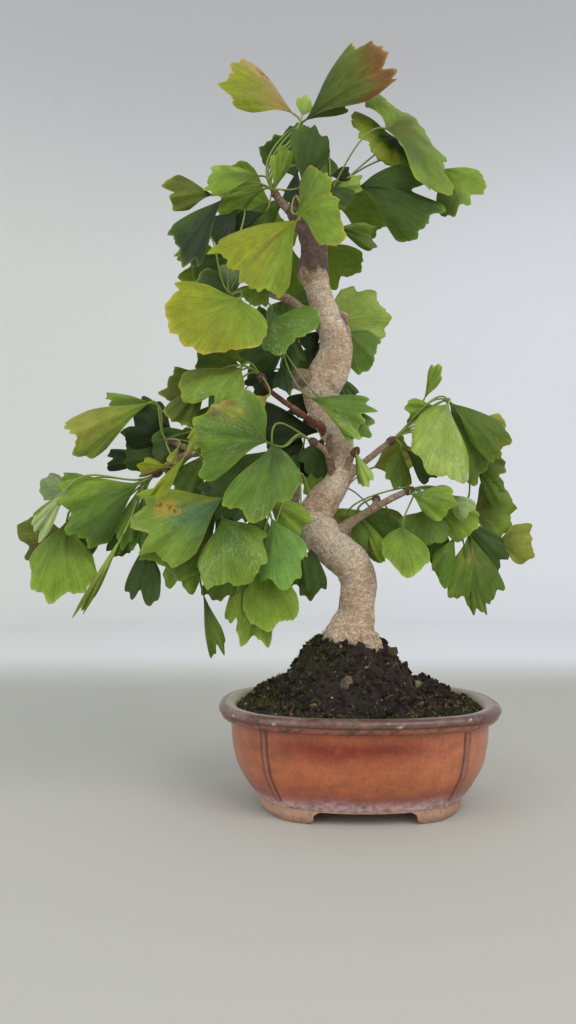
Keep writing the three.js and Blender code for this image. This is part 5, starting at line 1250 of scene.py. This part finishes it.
FOOT_SECTION = [(66.2, 51.8, 0), (67.4, 53, 0.8), (69.6, 54.6, 4), (69.8, 54.6, 7),
                (69, 53.5, POT_BASE_Z + 2)]
FOOT_STEP = 0.9
WELL_LOW = -1               # the room between the feet is cut from below the table
ARCH_BAR_LONG, ARCH_BAR_SHORT = 220, 160        # the bars that cut the arches, longer than the pot
ARCH_SPRING, ARCH_BEND = 0.6, 0.18              # how high an arch starts, and its double bend
LOBE_LONG, LOBE_SHORT = 140, 108    # the lengths of the plan's lobes
LOBE_STEP = 1.7             # spacing of the points along a lobe of the pot's plan
LOBE_EDGE = (1, 0.994, 0.988, 0.982, 0.977, 0.973, 0.968, 0.962, 0.955, 0.946)     # closer by a rib
RIB_BULGE, RIB_WIDTH = 0.9, 0.011
RIB_FADE = (10, 16)         # the ribs grow out of the pot's foot over this height
LIP_Z, LIP_RIB = 60, 0.55   # over this height the ribs are this strong
INSIDE_ROWS = 6             # the lip's last rows already lie inside
BARE_Z = 0.6                # how high over its base the pot has no glaze
SMOOTH_UNDER = radians(38)
# Half widths and depths of two skins at some heights: one just within the outer face, and that face.
SKIN_Z = (0, POT_BASE_Z, 19, 31, 44, 59, 62, 70.2)
SKIN_WIDTH = (62, 66, 75, 81.5, 84.5, 86, 91, 91.5)
SKIN_DEPTH = (49, 50, 56, 60.5, 63, 64.5, 69, 69.2)
FACE_Z = (8.5, 19, 31, 44, 59, 65, 70)
FACE_WIDTH = (70, 78, 84.5, 87.4, 88.6, 96, 94)
FACE_DEPTH = (54, 59.2, 63.6, 66, 67.6, 73, 71)
PAINT_GROOVE, PAINT_RIB = 1.3, 0.014            # the painted groove's width beside the real one, the rib's
# Heights over which the glaze and the painted light on its right side change, from where a tone is missing
# to where it is full.
FOOT_DARK, PAINTED_LIGHT_RISE, GRAIN_FROM, GRAIN_TO = (34, 14), (16, 34), (40, 52), (60, 58)
HAZE, HAZE_GROUND = (19.5, 10), (24, 12)
LIP_FROM, LIP_TOP, RIB_TOP = (59.5, 61), (65.4, 67.2), 61
BAND_Z, BAND_HALF, BAND_X, BAND_REACH = 50.5, 7.5, -14, (80, 25)
SEAM_Z, SEAM_HALF = 65.0, 0.6                   # the dark line round the lip
SIDES_FROM, SIDES_X, SIDES_Y = (0.60, 0.93), 97, 92
GREEN_FROM = (-60, -85)                         # the lip's inner left end is greenish
LIP_CHIPS = [      # x, height, size
    (19, 66.2, 1.7), (21.8, 67.2, 1.0), (12, 68.6, 0.5), (38, 67.4, 0.5), (65, 68.3, 1.3),
    (70, 67.0, 0.7), (-58, 66.0, 0.9), (-6, 69.0, 0.5), (-84, 67.6, 0.6),
]


def lobe_stations(length):
    """Places along a lobe from -1 to 1, close together by the ribs and their grooves."""
    edge = np.array(LOBE_EDGE)
    count = int(edge[-1] * length / LOBE_STEP)
    middle = np.linspace(-edge[-1], edge[-1], count)[1:-1]
    return np.concatenate([-edge, middle, edge[::-1][:-1]])


LONG_STATIONS, SHORT_STATIONS = lobe_stations(LOBE_LONG), lobe_stations(LOBE_SHORT)


def outline(half_width, half_depth, ribs=1.0):
    """The pot's plan at one height, as x and y."""
    corner_x, corner_y = half_width * CORNER_X, half_depth * CORNER_Y
    u, v = LONG_STATIONS, SHORT_STATIONS
    long = stack(corner_x * u, -corner_y - (half_depth - corner_y) * (1 - np.abs(u) ** LONG_BOW))
    short = stack(corner_x + (half_width - corner_x) * (1 - np.abs(v) ** SHORT_BOW), corner_y * v)
    station = np.abs(np.concatenate([u, v]))
    groove = np.exp(-((station - GROOVE_STATION) / GROOVE_WIDTH) ** 2)
    rib = np.exp(-((station - 1) / RIB_WIDTH) ** 2)
    scale = 1 - ribs * GROOVE * groove + ribs * RIB_BULGE / half_width * rib
    half = np.concatenate([long, short]) * scale[:, None]
    return np.concatenate([half, -half])


def section_rows(runs, step):
    return np.concatenate([spline(run, step)[:-1] for run in runs[:-1]] + [spline(runs[-1], step)])


def lofted(rows, ribs):
    """Rings of the pot's plan stacked up a section and capped; ribs gives each ring's share of them."""
    rings = [np.insert(outline(half_width, half_depth, share), 2, z, axis=1)
             for (half_width, half_depth, z), share in zip(rows, ribs)]
    count = len(rings[0])
    faces = grid_faces(len(rings), count, True).tolist() + flat_caps(count, len(rings))
    return np.concatenate(rings), faces


def pot_colours(points, groove, rib, outside):
    """Orange glaze with a red band, a whitish haze at its foot, a dark worn lip and chips along it, and
    painted light on its right side.
    """
    x, y, z = points.T
    front = y < 0
    patch = cloudy(points / (1.6, 1.6, 1), 14, 3, 80)
    grain = cloudy(points, 2.2, 3, 81)
    band = np.exp(-((z - BAND_Z - 1.5 * patch) / BAND_HALF) ** 2)
    band = band * rise(*BAND_REACH, np.abs(x - BAND_X) + 12 * patch) * np.where(front, 1, 0.6)
    haze = rise(*HAZE, z + 2.4 * patch + 0.8 * grain)
    sides = rise(*SIDES_FROM, np.hypot(x / SIDES_X, y / SIDES_Y) * 0.9)
    lip, top = rise(*LIP_FROM, z), rise(*LIP_TOP, z)
    seam = np.exp(-((z - SEAM_Z) / SEAM_HALF) ** 2) * outside
    inner = (1 - outside) * top
    tones = painted("#b2633c",
                    ("#964c36", 0.75 * rise(*FOOT_DARK, z + 5 * patch)),
                    # painted light: the body lighter orange on its right side, where the light falls
                    ("#cc7c52", 0.6 * rise(10, 70, x + 14 * patch) * rise(*PAINTED_LIGHT_RISE, z)),
                    ("#7c240e", 0.95 * np.clip(band, 0, 1)),
                    ("#b85c34", 0.3 * rise(0.2, 0.9, grain) * rise(*GRAIN_FROM, z) * rise(*GRAIN_TO, z)),
                    ("#7c4a50", 0.65 * rise(*HAZE_GROUND, z + 3 * patch)),
                    ("#e6cccc", 0.84 * haze * rise(-1.4, 0.9, grain + 0.5 * patch)),
                    ("#7c5450", 0.35 * sides),
                    ("#8c645a", 0.7 * np.clip(rib * 1.1, 0, 1) * (z < RIB_TOP)),
                    ("#4c3430", 0.85 * np.clip(groove, 0, 1)),
                    ("#8a523e", 0.85 * lip),
                    ("#50362f", 0.85 * lip * rise(0.0, 0.5, grain + 0.4 * patch)),
                    ("#4a332c", 0.85 * seam),
                    ("#55392f", 0.9 * top),
                    ("#8e766a", 0.5 * top * rise(0.1, 0.8, patch + 0.6 * grain)),
                    ("#94836a", 0.7 * inner),
                    ("#8c8a4c", 0.6 * inner * rise(*GREEN_FROM, x + 5 * patch)))
    for chip_x, chip_z, size in LIP_CHIPS:
        away = np.hypot((x - chip_x) / size, (z - chip_z) / size * 1.3) + 0.35 * grain
        tones = painted(tones, ("#d0c2b4", 0.8 * rise(1.0, 0.4, away) * front))
    return tones


def cut_shape(name, points, faces):
    return add_object(name, new_mesh(name, points, faces))


def boolean(target, other, operation):
    """Joins or cuts other into target and throws other away."""
    step = target.modifiers.new("cut", "BOOLEAN")
    step.object, step.operation, step.solver = other, operation, "EXACT"
    mesh = modified(target)
    target.modifiers.clear()
    target.data = mesh
    bpy.data.objects.remove(other)


def foot_arch(half_widths, length, turned):
    """The bracket-shaped gap between two feet, as a bar across the pot."""
    foot, top = half_widths
    u = np.linspace(0, 1, 12)
    rising = stack(foot + (top - foot) * (u + ARCH_BEND * np.sin(2 * pi * u)),
                   ARCH_SPRING + (POT_BASE_Z - ARCH_SPRING) * u)
    side = np.concatenate([[(foot, WELL_LOW)], rising])
    profile = np.concatenate([side * (-1, 1), side[::-1]])
    ends = [np.insert(profile, 1, y, axis=1) for y in (-length / 2, length / 2)]
    points = np.concatenate(ends)
    if turned:
        points = points[:, [1, 0, 2]] * (-1, 1, 1)
    count = len(profile)
    return cut_shape("arch", points, grid_faces(2, count, True).tolist() + flat_caps(count, 2))


def make_feet():
    rows = spline(FOOT_SECTION, FOOT_STEP)
    feet = cut_shape("feet", *lofted(rows, np.zeros(len(rows))))
    well_rows = [(*FOOT_INSIDE, z) for z in (WELL_LOW, POT_BASE_Z)]
    boolean(feet, cut_shape("well", *lofted(well_rows, (0, 0))), "DIFFERENCE")
    boolean(feet, foot_arch(FOOT_GAP_FRONT, ARCH_BAR_SHORT, False), "DIFFERENCE")
    boolean(feet, foot_arch(FOOT_GAP_END, ARCH_BAR_LONG, True), "DIFFERENCE")
    return feet


def make_pot(materials):
    rows = section_rows(POT_SECTION, SECTION_STEP)
    inside_from = len(section_rows(POT_SECTION[:3], SECTION_STEP)) - INSIDE_ROWS
    ribs = np.where(np.arange(len(rows)) < inside_from, rise(*RIB_FADE, rows[:, 2]), 0.0)
    ribs = np.where(rows[:, 2] > LIP_Z, ribs * LIP_RIB, ribs)
    pot = cut_shape("pot_fine", *lofted(rows, ribs))
    for x in (-DRAIN_X, DRAIN_X):
        path = np.array([(x, 0, 0), (x, 0, 2 * POT_FLOOR_Z)], float)
        points, quads, caps = tube(path, (DRAIN_RADIUS, DRAIN_RADIUS), DRAIN_SIDES)
        boolean(pot, cut_shape("drain", points, quads + caps), "DIFFERENCE")
    boolean(pot, make_feet(), "UNION")
    mesh = pot.data
    points = mesh_points(mesh)
    groove, rib = rib_shares(points)
    tones = pot_colours(points, groove, rib, is_outside(points).astype(float))
    tones = painted(tones, ("#b28c74", rise(POT_BASE_Z + 1.4, POT_BASE_Z + 0.4, points[:, 2])))
    finish_mesh(mesh, materials, SMOOTH_UNDER)
    centres = np.empty(len(mesh.polygons) * 3)
    mesh.polygons.foreach_get("center", centres)
    bare_face = (centres.reshape(-1, 3)[:, 2] / MM < POT_BASE_Z + BARE_Z).astype(int)
    mesh.polygons.foreach_set("material_index", bare_face)
    paint(mesh, tones, points)
    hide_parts("pot")
    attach(pot, "root")


def is_outside(points):
    """True for points on the outer face of the pot, at the lip as far in as its crest."""
    x, y, z = points.T
    half_width, half_depth = np.interp(z, SKIN_Z, SKIN_WIDTH), np.interp(z, SKIN_Z, SKIN_DEPTH)
    corner_x, corner_y = half_width * CORNER_X, half_depth * CORNER_Y
    u, v = np.abs(x) / corner_x, np.abs(y) / corner_y
    beyond_long = np.abs(y) > corner_y + (half_depth - corner_y) * (1 - np.clip(u, 0, 1) ** LONG_BOW)
    beyond_short = np.abs(x) > corner_x + (half_width - corner_x) * (1 - np.clip(v, 0, 1) ** SHORT_BOW)
    return np.where(u < 1, beyond_long, beyond_short | (v >= 1))


def rib_shares(points):
    """How near each point is to a groove and to a rib, from its direction round the pot."""
    x, y, z = points.T
    u = np.abs(x) / (np.interp(z, FACE_Z, FACE_WIDTH) * CORNER_X)
    v = np.abs(y) / (np.interp(z, FACE_Z, FACE_DEPTH) * CORNER_Y)
    station = np.where(u < 1.0, u, np.minimum(v, 1))
    groove = np.exp(-((station - GROOVE_STATION) / (GROOVE_WIDTH * PAINT_GROOVE)) ** 2)
    rib = np.exp(-((station - 1) / PAINT_RIB) ** 2)
    fade = rise(*RIB_FADE, z) * is_outside(points)
    return groove * fade, rib * fade


# ---------------------------------------------------------------- soil

SOIL_HALF = (83.0, 62.0)    # half width and half depth where it meets the pot
SOIL_WALL = [(82.9, 61.9, 65.5), (78.4, 57.4, 40), (63, 45, 17)]
SOIL_RINGS, SOIL_AROUND = 100, 340
SOIL_FIRST = 0.012          # the ring round the mound's middle
LUMP, LUMP_SIZE = 2.8, 9
CRUMB, CRUMB_SIZE = 1.9, 3.6


def edge_points():
    """The soil's edge against the pot, evenly spaced."""
    ring = outline(*SOIL_HALF, 0)
    closed = np.concatenate([ring, ring[:1]])
    along = lengths_along(closed)
    places = np.linspace(0, along[-1], SOIL_AROUND, endpoint=False)
    return stack(np.interp(places, along, closed[:, 0]), np.interp(places, along, closed[:, 1]))


EDGE = edge_points()


def soil_points(share, turn):
    """Points of the soil's surface: share is 0 at the mound and 1 at the pot, turn 0 to 1 round it."""
    index = np.asarray(turn) * SOIL_AROUND
    low = np.floor(index).astype(int) % SOIL_AROUND
    part = (index - np.floor(index))[..., None]
    edge = EDGE[low] * (1 - part) + EDGE[(low + 1) % SOIL_AROUND] * part
    flat = np.array(MOUND) * (1 - share[..., None]) + edge * share[..., None]
    x, y = flat[..., 0], flat[..., 1]
    height = SOIL_EDGE_Z + SOIL_CROWN * (1 - share ** 2)
    for heap_x, heap_y, tall, reach, power, stretch in HEAPS:
        distance = np.hypot(x - heap_x, (y - heap_y) * stretch)
        height = height + tall * np.exp(-(distance / reach) ** power) * (1 - share ** 12)
    solid = stack(x, y, height)
    lumps = LUMP * cloudy(solid, LUMP_SIZE, 2, 90)
    crumbs = CRUMB * (0.4 - np.abs(cloudy(solid, CRUMB_SIZE, 3, 91))) * 1.5
    return stack(x, y, height + (lumps + crumbs) * (1 - share ** 10))


def soil_colours(points):
    grain = cloudy(points, 3.2, 3, 96)
    moss = moss_share(points)
    return painted("#38302d",
                   ("#4c3a2e", 0.6 * rise(0.1, 0.7, grain)),
                   ("#181413", 0.7 * rise(0.1, 0.7, -grain)),
                   ("#333c20", 0.65 * moss),
                   ("#55622c", 0.5 * moss * rise(0.1, 0.6, grain)))


MOSS_LEFT, MOSS_TOP_LEFT, MOSS_RIGHT = (-20, -62), (-2, -22), (66, 78)
MOSS_TOP, MOSS_RIM = (84, 108), (0.86, 1.0)     # heights, and shares of the way from the middle to the pot


def moss_share(points):
    """Where moss grows: the left side, the mound's left top, the rim and a patch at the right."""
    x, y, z = points.T
    patch = cloudy(points, 18, 3, 95)
    left = rise(*MOSS_LEFT, x + 16 * patch)
    top = rise(*MOSS_TOP_LEFT, x + 8 * patch) * rise(*MOSS_TOP, z)
    right = rise(*MOSS_RIGHT, x + 8 * patch)
    rim = rise(*MOSS_RIM, np.hypot(x / SOIL_HALF[0], y / SOIL_HALF[1]))
    most = np.maximum.reduce([0.6 * left, 0.7 * top, 0.6 * right, 0.6 * rim])
    return np.clip(most * rise(-0.6, 0.3, patch + 0.3), 0, 1)


def make_soil(materials):
    soup = Soup()
    shares = np.linspace(SOIL_FIRST, 1, SOIL_RINGS)
    share, turn = np.meshgrid(shares, np.arange(SOIL_AROUND) / SOIL_AROUND, indexing="ij")
    walls = [np.insert(EDGE * (np.array(half) / SOIL_HALF), 2, z, axis=1) for *half, z in SOIL_WALL]
    points = np.concatenate([soil_points(share, turn), walls]).reshape(-1, 3)
    rings = SOIL_RINGS + len(walls)
    caps = [cap[::-1] for cap in flat_caps(SOIL_AROUND, rings)]
    soup.add(points, grid_faces(rings, SOIL_AROUND, True)[:, ::-1], soil_colours(points), caps=caps)
    made = soup.piece("soil_fine", materials, NO_EDGE)
    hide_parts("soil")
    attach(made, "root")


# ---------------------------------------------------------------- what lies and grows on the soil

def ball(seed, rough):
    """A lumpy ball of radius about 1, closed: points and triangles."""
    mesh = bmesh.new()
    bmesh.ops.create_icosphere(mesh, subdivisions=1, radius=1)
    points = np.array([tuple(vertex.co) for vertex in mesh.verts])
    faces = [[vertex.index for vertex in face.verts] for face in mesh.faces]
    mesh.free()
    draws = np.random.default_rng(seed)
    return points * (1 + rough * (draws.random((len(points), 1)) - 0.5)), faces


def turned(points, draws):
    """points turned by a drawn rotation."""
    a, b, _ = draws.normal(size=(3, 3))
    a = unit(a)
    b = unit(b - a * np.dot(a, b))
    return points @ np.array([a, b, np.cross(a, b)])


def scatter(count, draws, reach=1.0):
    """Drawn places on the soil's surface, evenly over its plan."""
    return soil_points(np.sqrt(draws.random(count)) * reach, draws.random(count))


CRUMB_SEED, MOSS_SEED, ROOTLET_SEED = 7, 19, 31
TRUNK_X, TRUNK_CLEARANCE = -5, 21


def clear_of_trunk(points):
    return np.hypot(points[:, 0] - TRUNK_X, points[:, 1]) > TRUNK_CLEARANCE


CRUMB_KINDS = [     # how many, smallest and largest, tones, squash, how high they lie
    (1900, (0.5, 1.8), ("#1f1a18", "#342923", "#4a382c"), (1, 1, 0.8), 0.3),
    (260, (1.6, 3.6), ("#241d1a", "#302622", "#3c2f28"), (1, 0.8, 0.7), 0.25),
    (150, (1.0, 2.6), ("#6a5238", "#7c6a48", "#4c3828", "#8c8262"), (1, 0.5, 0.3), 0.5),
    (260, (0.5, 1.3), ("#857a5c", "#6c6048", "#98906c"), (1, 0.4, 0.3), 0.5),
    (60, (0.35, 0.85), ("#d8d6d0", "#c4c0b4"), (1, 1, 0.9), 0.5),
]
CHIPS = [      # bits of bark and stone: x, y, size, squash, tone
    (41, -8, 4.5, (1, 0.5, 0.8), "#8a8a5c"), (38, -28, 3.2, (0.6, 0.5, 1), "#6e4c3c"),
    (38, -36, 3.4, (1, 0.5, 0.5), "#7a6a4c"), (24, -4, 5.0, (0.9, 0.7, 1), "#5a4c34"),
    (-32, -45, 2.6, (1, 0.6, 0.9), "#7c8a48"), (-47, -50, 5.5, (1, 0.14, 0.14), "#7a4630"),
]
CHIP_BALL, CHIP_LIFT = 3, 0.4
BALLS, BALL_ROUGH = 8, 0.7


def make_crumbs(materials):
    """Loose crumbs of soil, bits of bark and white grit."""
    soup = Soup()
    draws = np.random.default_rng(CRUMB_SEED)
    shapes = [ball(seed, BALL_ROUGH) for seed in range(BALLS)]
    for count, (small, large), tones, squash, lift in CRUMB_KINDS:
        places = scatter(count, draws, 0.985)
        for spot in places[clear_of_trunk(places)]:
            points, faces = shapes[draws.integers(len(shapes))]
            size = small + (large - small) * draws.random() ** 2
            shape = turned(points * squash, draws) * size
            soup.add(spot + (0, 0, size * lift) + shape, faces, colour(tones[draws.integers(len(tones))]))
    for x, y, size, squash, tone in CHIPS:
        points, faces = shapes[CHIP_BALL]
        spot = np.array([x, y, surface_height(x, y)])
        shape = turned(points * squash, draws) * size
        soup.add(spot + shape + (0, 0, size * CHIP_LIFT), faces, colour(tone))
    made = soup.piece("soil_crumbs", materials, SHARP_CRUMB)
    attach(made, "root")


def surface_height(x, y):
    """The soil's height at x, y: the place is found along its ray from the mound."""
    direction = atan2(y - MOUND[1], x - MOUND[0])
    edges = np.arctan2(EDGE[:, 1] - MOUND[1], EDGE[:, 0] - MOUND[0])
    index = int(np.abs(np.angle(np.exp(1j * (edges - direction)))).argmin())
    share = hypot(x - MOUND[0], y - MOUND[1]) / hypot(*(EDGE[index] - MOUND))
    return float(soil_points(np.array([min(share, 1.0)]), np.array([index / SOIL_AROUND]))[0, 2])


MOSS_TUFTS, SPIKES, MOSS_THIN = 4600, 5, 0.05
TUFT_SPREAD, SPIKE_LEAN, SPIKE_HIGH = 0.45, 0.55, (0.7, 2.3)
SPIKE_WIDE, SPIKE_DEEP = 0.34, -1.2
MOSS_DARK, MOSS_LIGHT, MOSS_PALE, MOSS_DEAD = "#2a3519", "#6c7a34", "#a8aa62", "#4a3c2a"
PALE_SHARE, DEAD_SHARE = 0.06, 0.25


def make_moss(materials):
    """Tufts of short three-sided spikes, thick where moss_share says and thin elsewhere."""
    draws = np.random.default_rng(MOSS_SEED)
    places = scatter(MOSS_TUFTS * 2, draws, 0.99)
    wanted = moss_share(places) + MOSS_THIN
    keep = (draws.random(len(places)) < wanted) & clear_of_trunk(places)
    places = places[keep][:MOSS_TUFTS]
    count = len(places) * SPIKES
    foot = np.repeat(places, SPIKES, axis=0) + draws.normal(0, TUFT_SPREAD, (count, 3)) * (1, 1, 0.2)
    lean = draws.normal(0, SPIKE_LEAN, (count, 2))
    height = draws.uniform(*SPIKE_HIGH, count)
    tip = foot + np.concatenate([lean, np.ones((count, 1))], axis=1) * height[:, None]
    spin = draws.uniform(0, 2 * pi, count)
    corners = [foot + stack(np.cos(spin + k), np.sin(spin + k), SPIKE_DEEP) * SPIKE_WIDE
               for k in (0, 2 * pi / 3, 4 * pi / 3)]
    points = np.stack([*corners, tip], axis=1).reshape(-1, 3)
    first = np.arange(count)[:, None] * 4
    faces = np.concatenate([first + f for f in ([0, 1, 3], [1, 2, 3], [2, 0, 3], [0, 2, 1])])
    share = draws.random(count)[:, None]
    green = colour(MOSS_DARK) * (1 - share) + colour(MOSS_LIGHT) * share
    for tone, part in ((MOSS_PALE, PALE_SHARE), (MOSS_DEAD, DEAD_SHARE)):
        green = np.where(draws.random(count)[:, None] < part, colour(tone), green)
    soup = Soup()
    soup.add(points, faces, np.repeat(green, 4, axis=0))
    made = soup.piece("moss", materials, SHARP_CRUMB)
    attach(made, "root")


ROOTLETS = 190
ROOTLET_TONES = ("#5e4232", "#7a5c46", "#3c2a22", "#45332a", "#8a7258")
ROOTLET_STEP, ROOTLET_TURN = 0.016, 0.0035      # how far each step goes outwards and round the mound


def make_rootlets(materials):
    """Fine roots that wander over the soil."""
    soup = Soup()
    draws = np.random.default_rng(ROOTLET_SEED)
    tones = [colour(tone) for tone in ROOTLET_TONES]
    share, turn = np.sqrt(draws.random(ROOTLETS)) * 0.93, draws.random(ROOTLETS)
    for i in range(ROOTLETS):
        steps = int(draws.integers(6, 13))
        bend = draws.normal(0, 0.5)
        heading = draws.uniform(0, 2 * pi)
        shares, turns = [share[i]], [turn[i]]
        for _ in range(steps - 1):
            heading += bend + draws.normal(0, 0.35)
            shares.append(np.clip(shares[-1] + ROOTLET_STEP * cos(heading), 0.1, 0.97))
            turns.append((turns[-1] + ROOTLET_TURN * sin(heading) / max(shares[-1], 0.2)) % 1)
        path = soil_points(np.array(shares), np.array(turns))
        path[:, 2] += 0.25 + 0.8 * np.sin(np.linspace(0, pi, steps)) * draws.random()
        if not clear_of_trunk(path).all():
            continue
        radii = np.linspace(0.34, 0.1, steps) * draws.uniform(0.6, 1.3)
        add_tube(soup, path, radii, 5, tones[draws.integers(len(tones))])
    made = soup.piece("rootlets", materials)
    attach(made, "root")


# ---------------------------------------------------------------- floor, wall, light and camera

FLOOR_REACH, WALL_HEIGHT, COVE = 1500, 2200, 500
STAGE_SIDES, FLOOR_RINGS, COVE_RINGS, WALL_RINGS = 96, 12, 16, 7
FLOOR_HOLE = 0.5            # the radius of the small cap in the floor's middle


def make_stage():
    """A round pale floor that curves up into a wall, with room for the camera inside it on any side."""
    material = stage_material()
    turn = np.linspace(0, pi / 2, COVE_RINGS + 1)
    profile = [(FLOOR_HOLE, 0)] + [(FLOOR_REACH * k / FLOOR_RINGS, 0) for k in range(1, FLOOR_RINGS + 1)]
    cove = [(FLOOR_REACH + COVE * sin(a), COVE * (1 - cos(a))) for a in turn[1:]]
    wall = [(FLOOR_REACH + COVE, z) for z in np.linspace(COVE, COVE + WALL_HEIGHT, WALL_RINGS + 1)[1:]]
    angle = 2 * pi * np.arange(STAGE_SIDES) / STAGE_SIDES
    for name, rows in (("floor", profile), ("backdrop", [profile[-1]] + cove + wall)):
        rings = [stack(radius * np.cos(angle), radius * np.sin(angle), z) for radius, z in rows]
        faces = grid_faces(len(rows), STAGE_SIDES, True).tolist()
        if name == "floor":
            faces.append(list(range(STAGE_SIDES))[::-1])
        mesh = new_mesh(name, np.concatenate(rings), faces)
        finish_mesh(mesh, [material], NO_EDGE)
        made = add_object(name, mesh)
        if name == "backdrop":
            made.visible_shadow = False
            made.visible_diffuse = False
            made.visible_glossy = False


LIGHTS = [      # name, place, aimed at, width, power, colour
    ("window", (700, -1100, 1250), (0, 0, 260), 1100, 13, (1.0, 0.985, 0.96)),
    ("fill", (-1000, -900, 700), (0, 0, 250), 1300, 7, (0.97, 0.985, 1.0)),
]
SKY = ((0.93, 0.96, 1.0), 0.66)


def aim(made, place_mm, target):
    made.location = place(place_mm)
    direction = Vector(target) - Vector(place_mm)
    made.rotation_euler = direction.to_track_quat("-Z", "Y").to_euler()


def make_lights():
    for name, place_mm, target, width, power, tone in LIGHTS:
        lamp = bpy.data.lights.new(name, "AREA")
        lamp.size, lamp.energy, lamp.color = width * MM, power, tone
        aim(add_object(name, lamp), place_mm, target)
    world = bpy.data.worlds.new("sky")
    world.use_nodes = True
    sky = world.node_tree.nodes["Background"]
    sky.inputs["Color"].default_value = (*SKY[0], 1)
    sky.inputs["Strength"].default_value = SKY[1]
    bpy.context.scene.world = world
    bpy.context.scene.view_settings.view_transform = "Standard"


FOCAL_SHARE = 0.747         # focal length as a share of the picture's long side
SENSOR, CLIP = 36, (0.01, 20)


def make_camera():
    """A wide phone lens, tipped up a little; its place was worked out from the pot's rim and feet."""
    data = bpy.data.cameras.new("camera")
    data.sensor_width = SENSOR
    data.lens = SENSOR * FOCAL_SHARE
    data.clip_start, data.clip_end = CLIP
    made = add_object("camera", data)
    made.location = place(EYE)
    made.rotation_euler = (radians(90) + VIEW_TILT, 0, 0)
    bpy.context.scene.camera = made


# ---------------------------------------------------------------- the whole plant

def main():
    make_camera()
    make_lights()
    make_stage()
    leaf_finish, bark, earth = leaf_material(), bark_material(), earth_material()
    make_pot([glaze_material(), clay_material()])
    screen = screen_material()
    for name in ("drain_screen_left", "drain_screen_right"):
        for slot in frame["nodes"][name].material_slots:
            slot.material = screen
    make_soil([earth])
    make_crumbs([earth])
    make_moss([earth])
    make_rootlets([earth])
    make_wood([bark])
    for i, (name, limb, rows) in enumerate(SPRAYS):
        make_spray(name, limb, rows, 100 * i, [leaf_finish, bark])
    for name, limb, blades, stalk, length, seed in ROSETTES:
        rows = rosette_rows(limb, blades, stalk, length, seed)
        make_spray(name, limb, rows, 100 * seed, [leaf_finish, bark])


main()
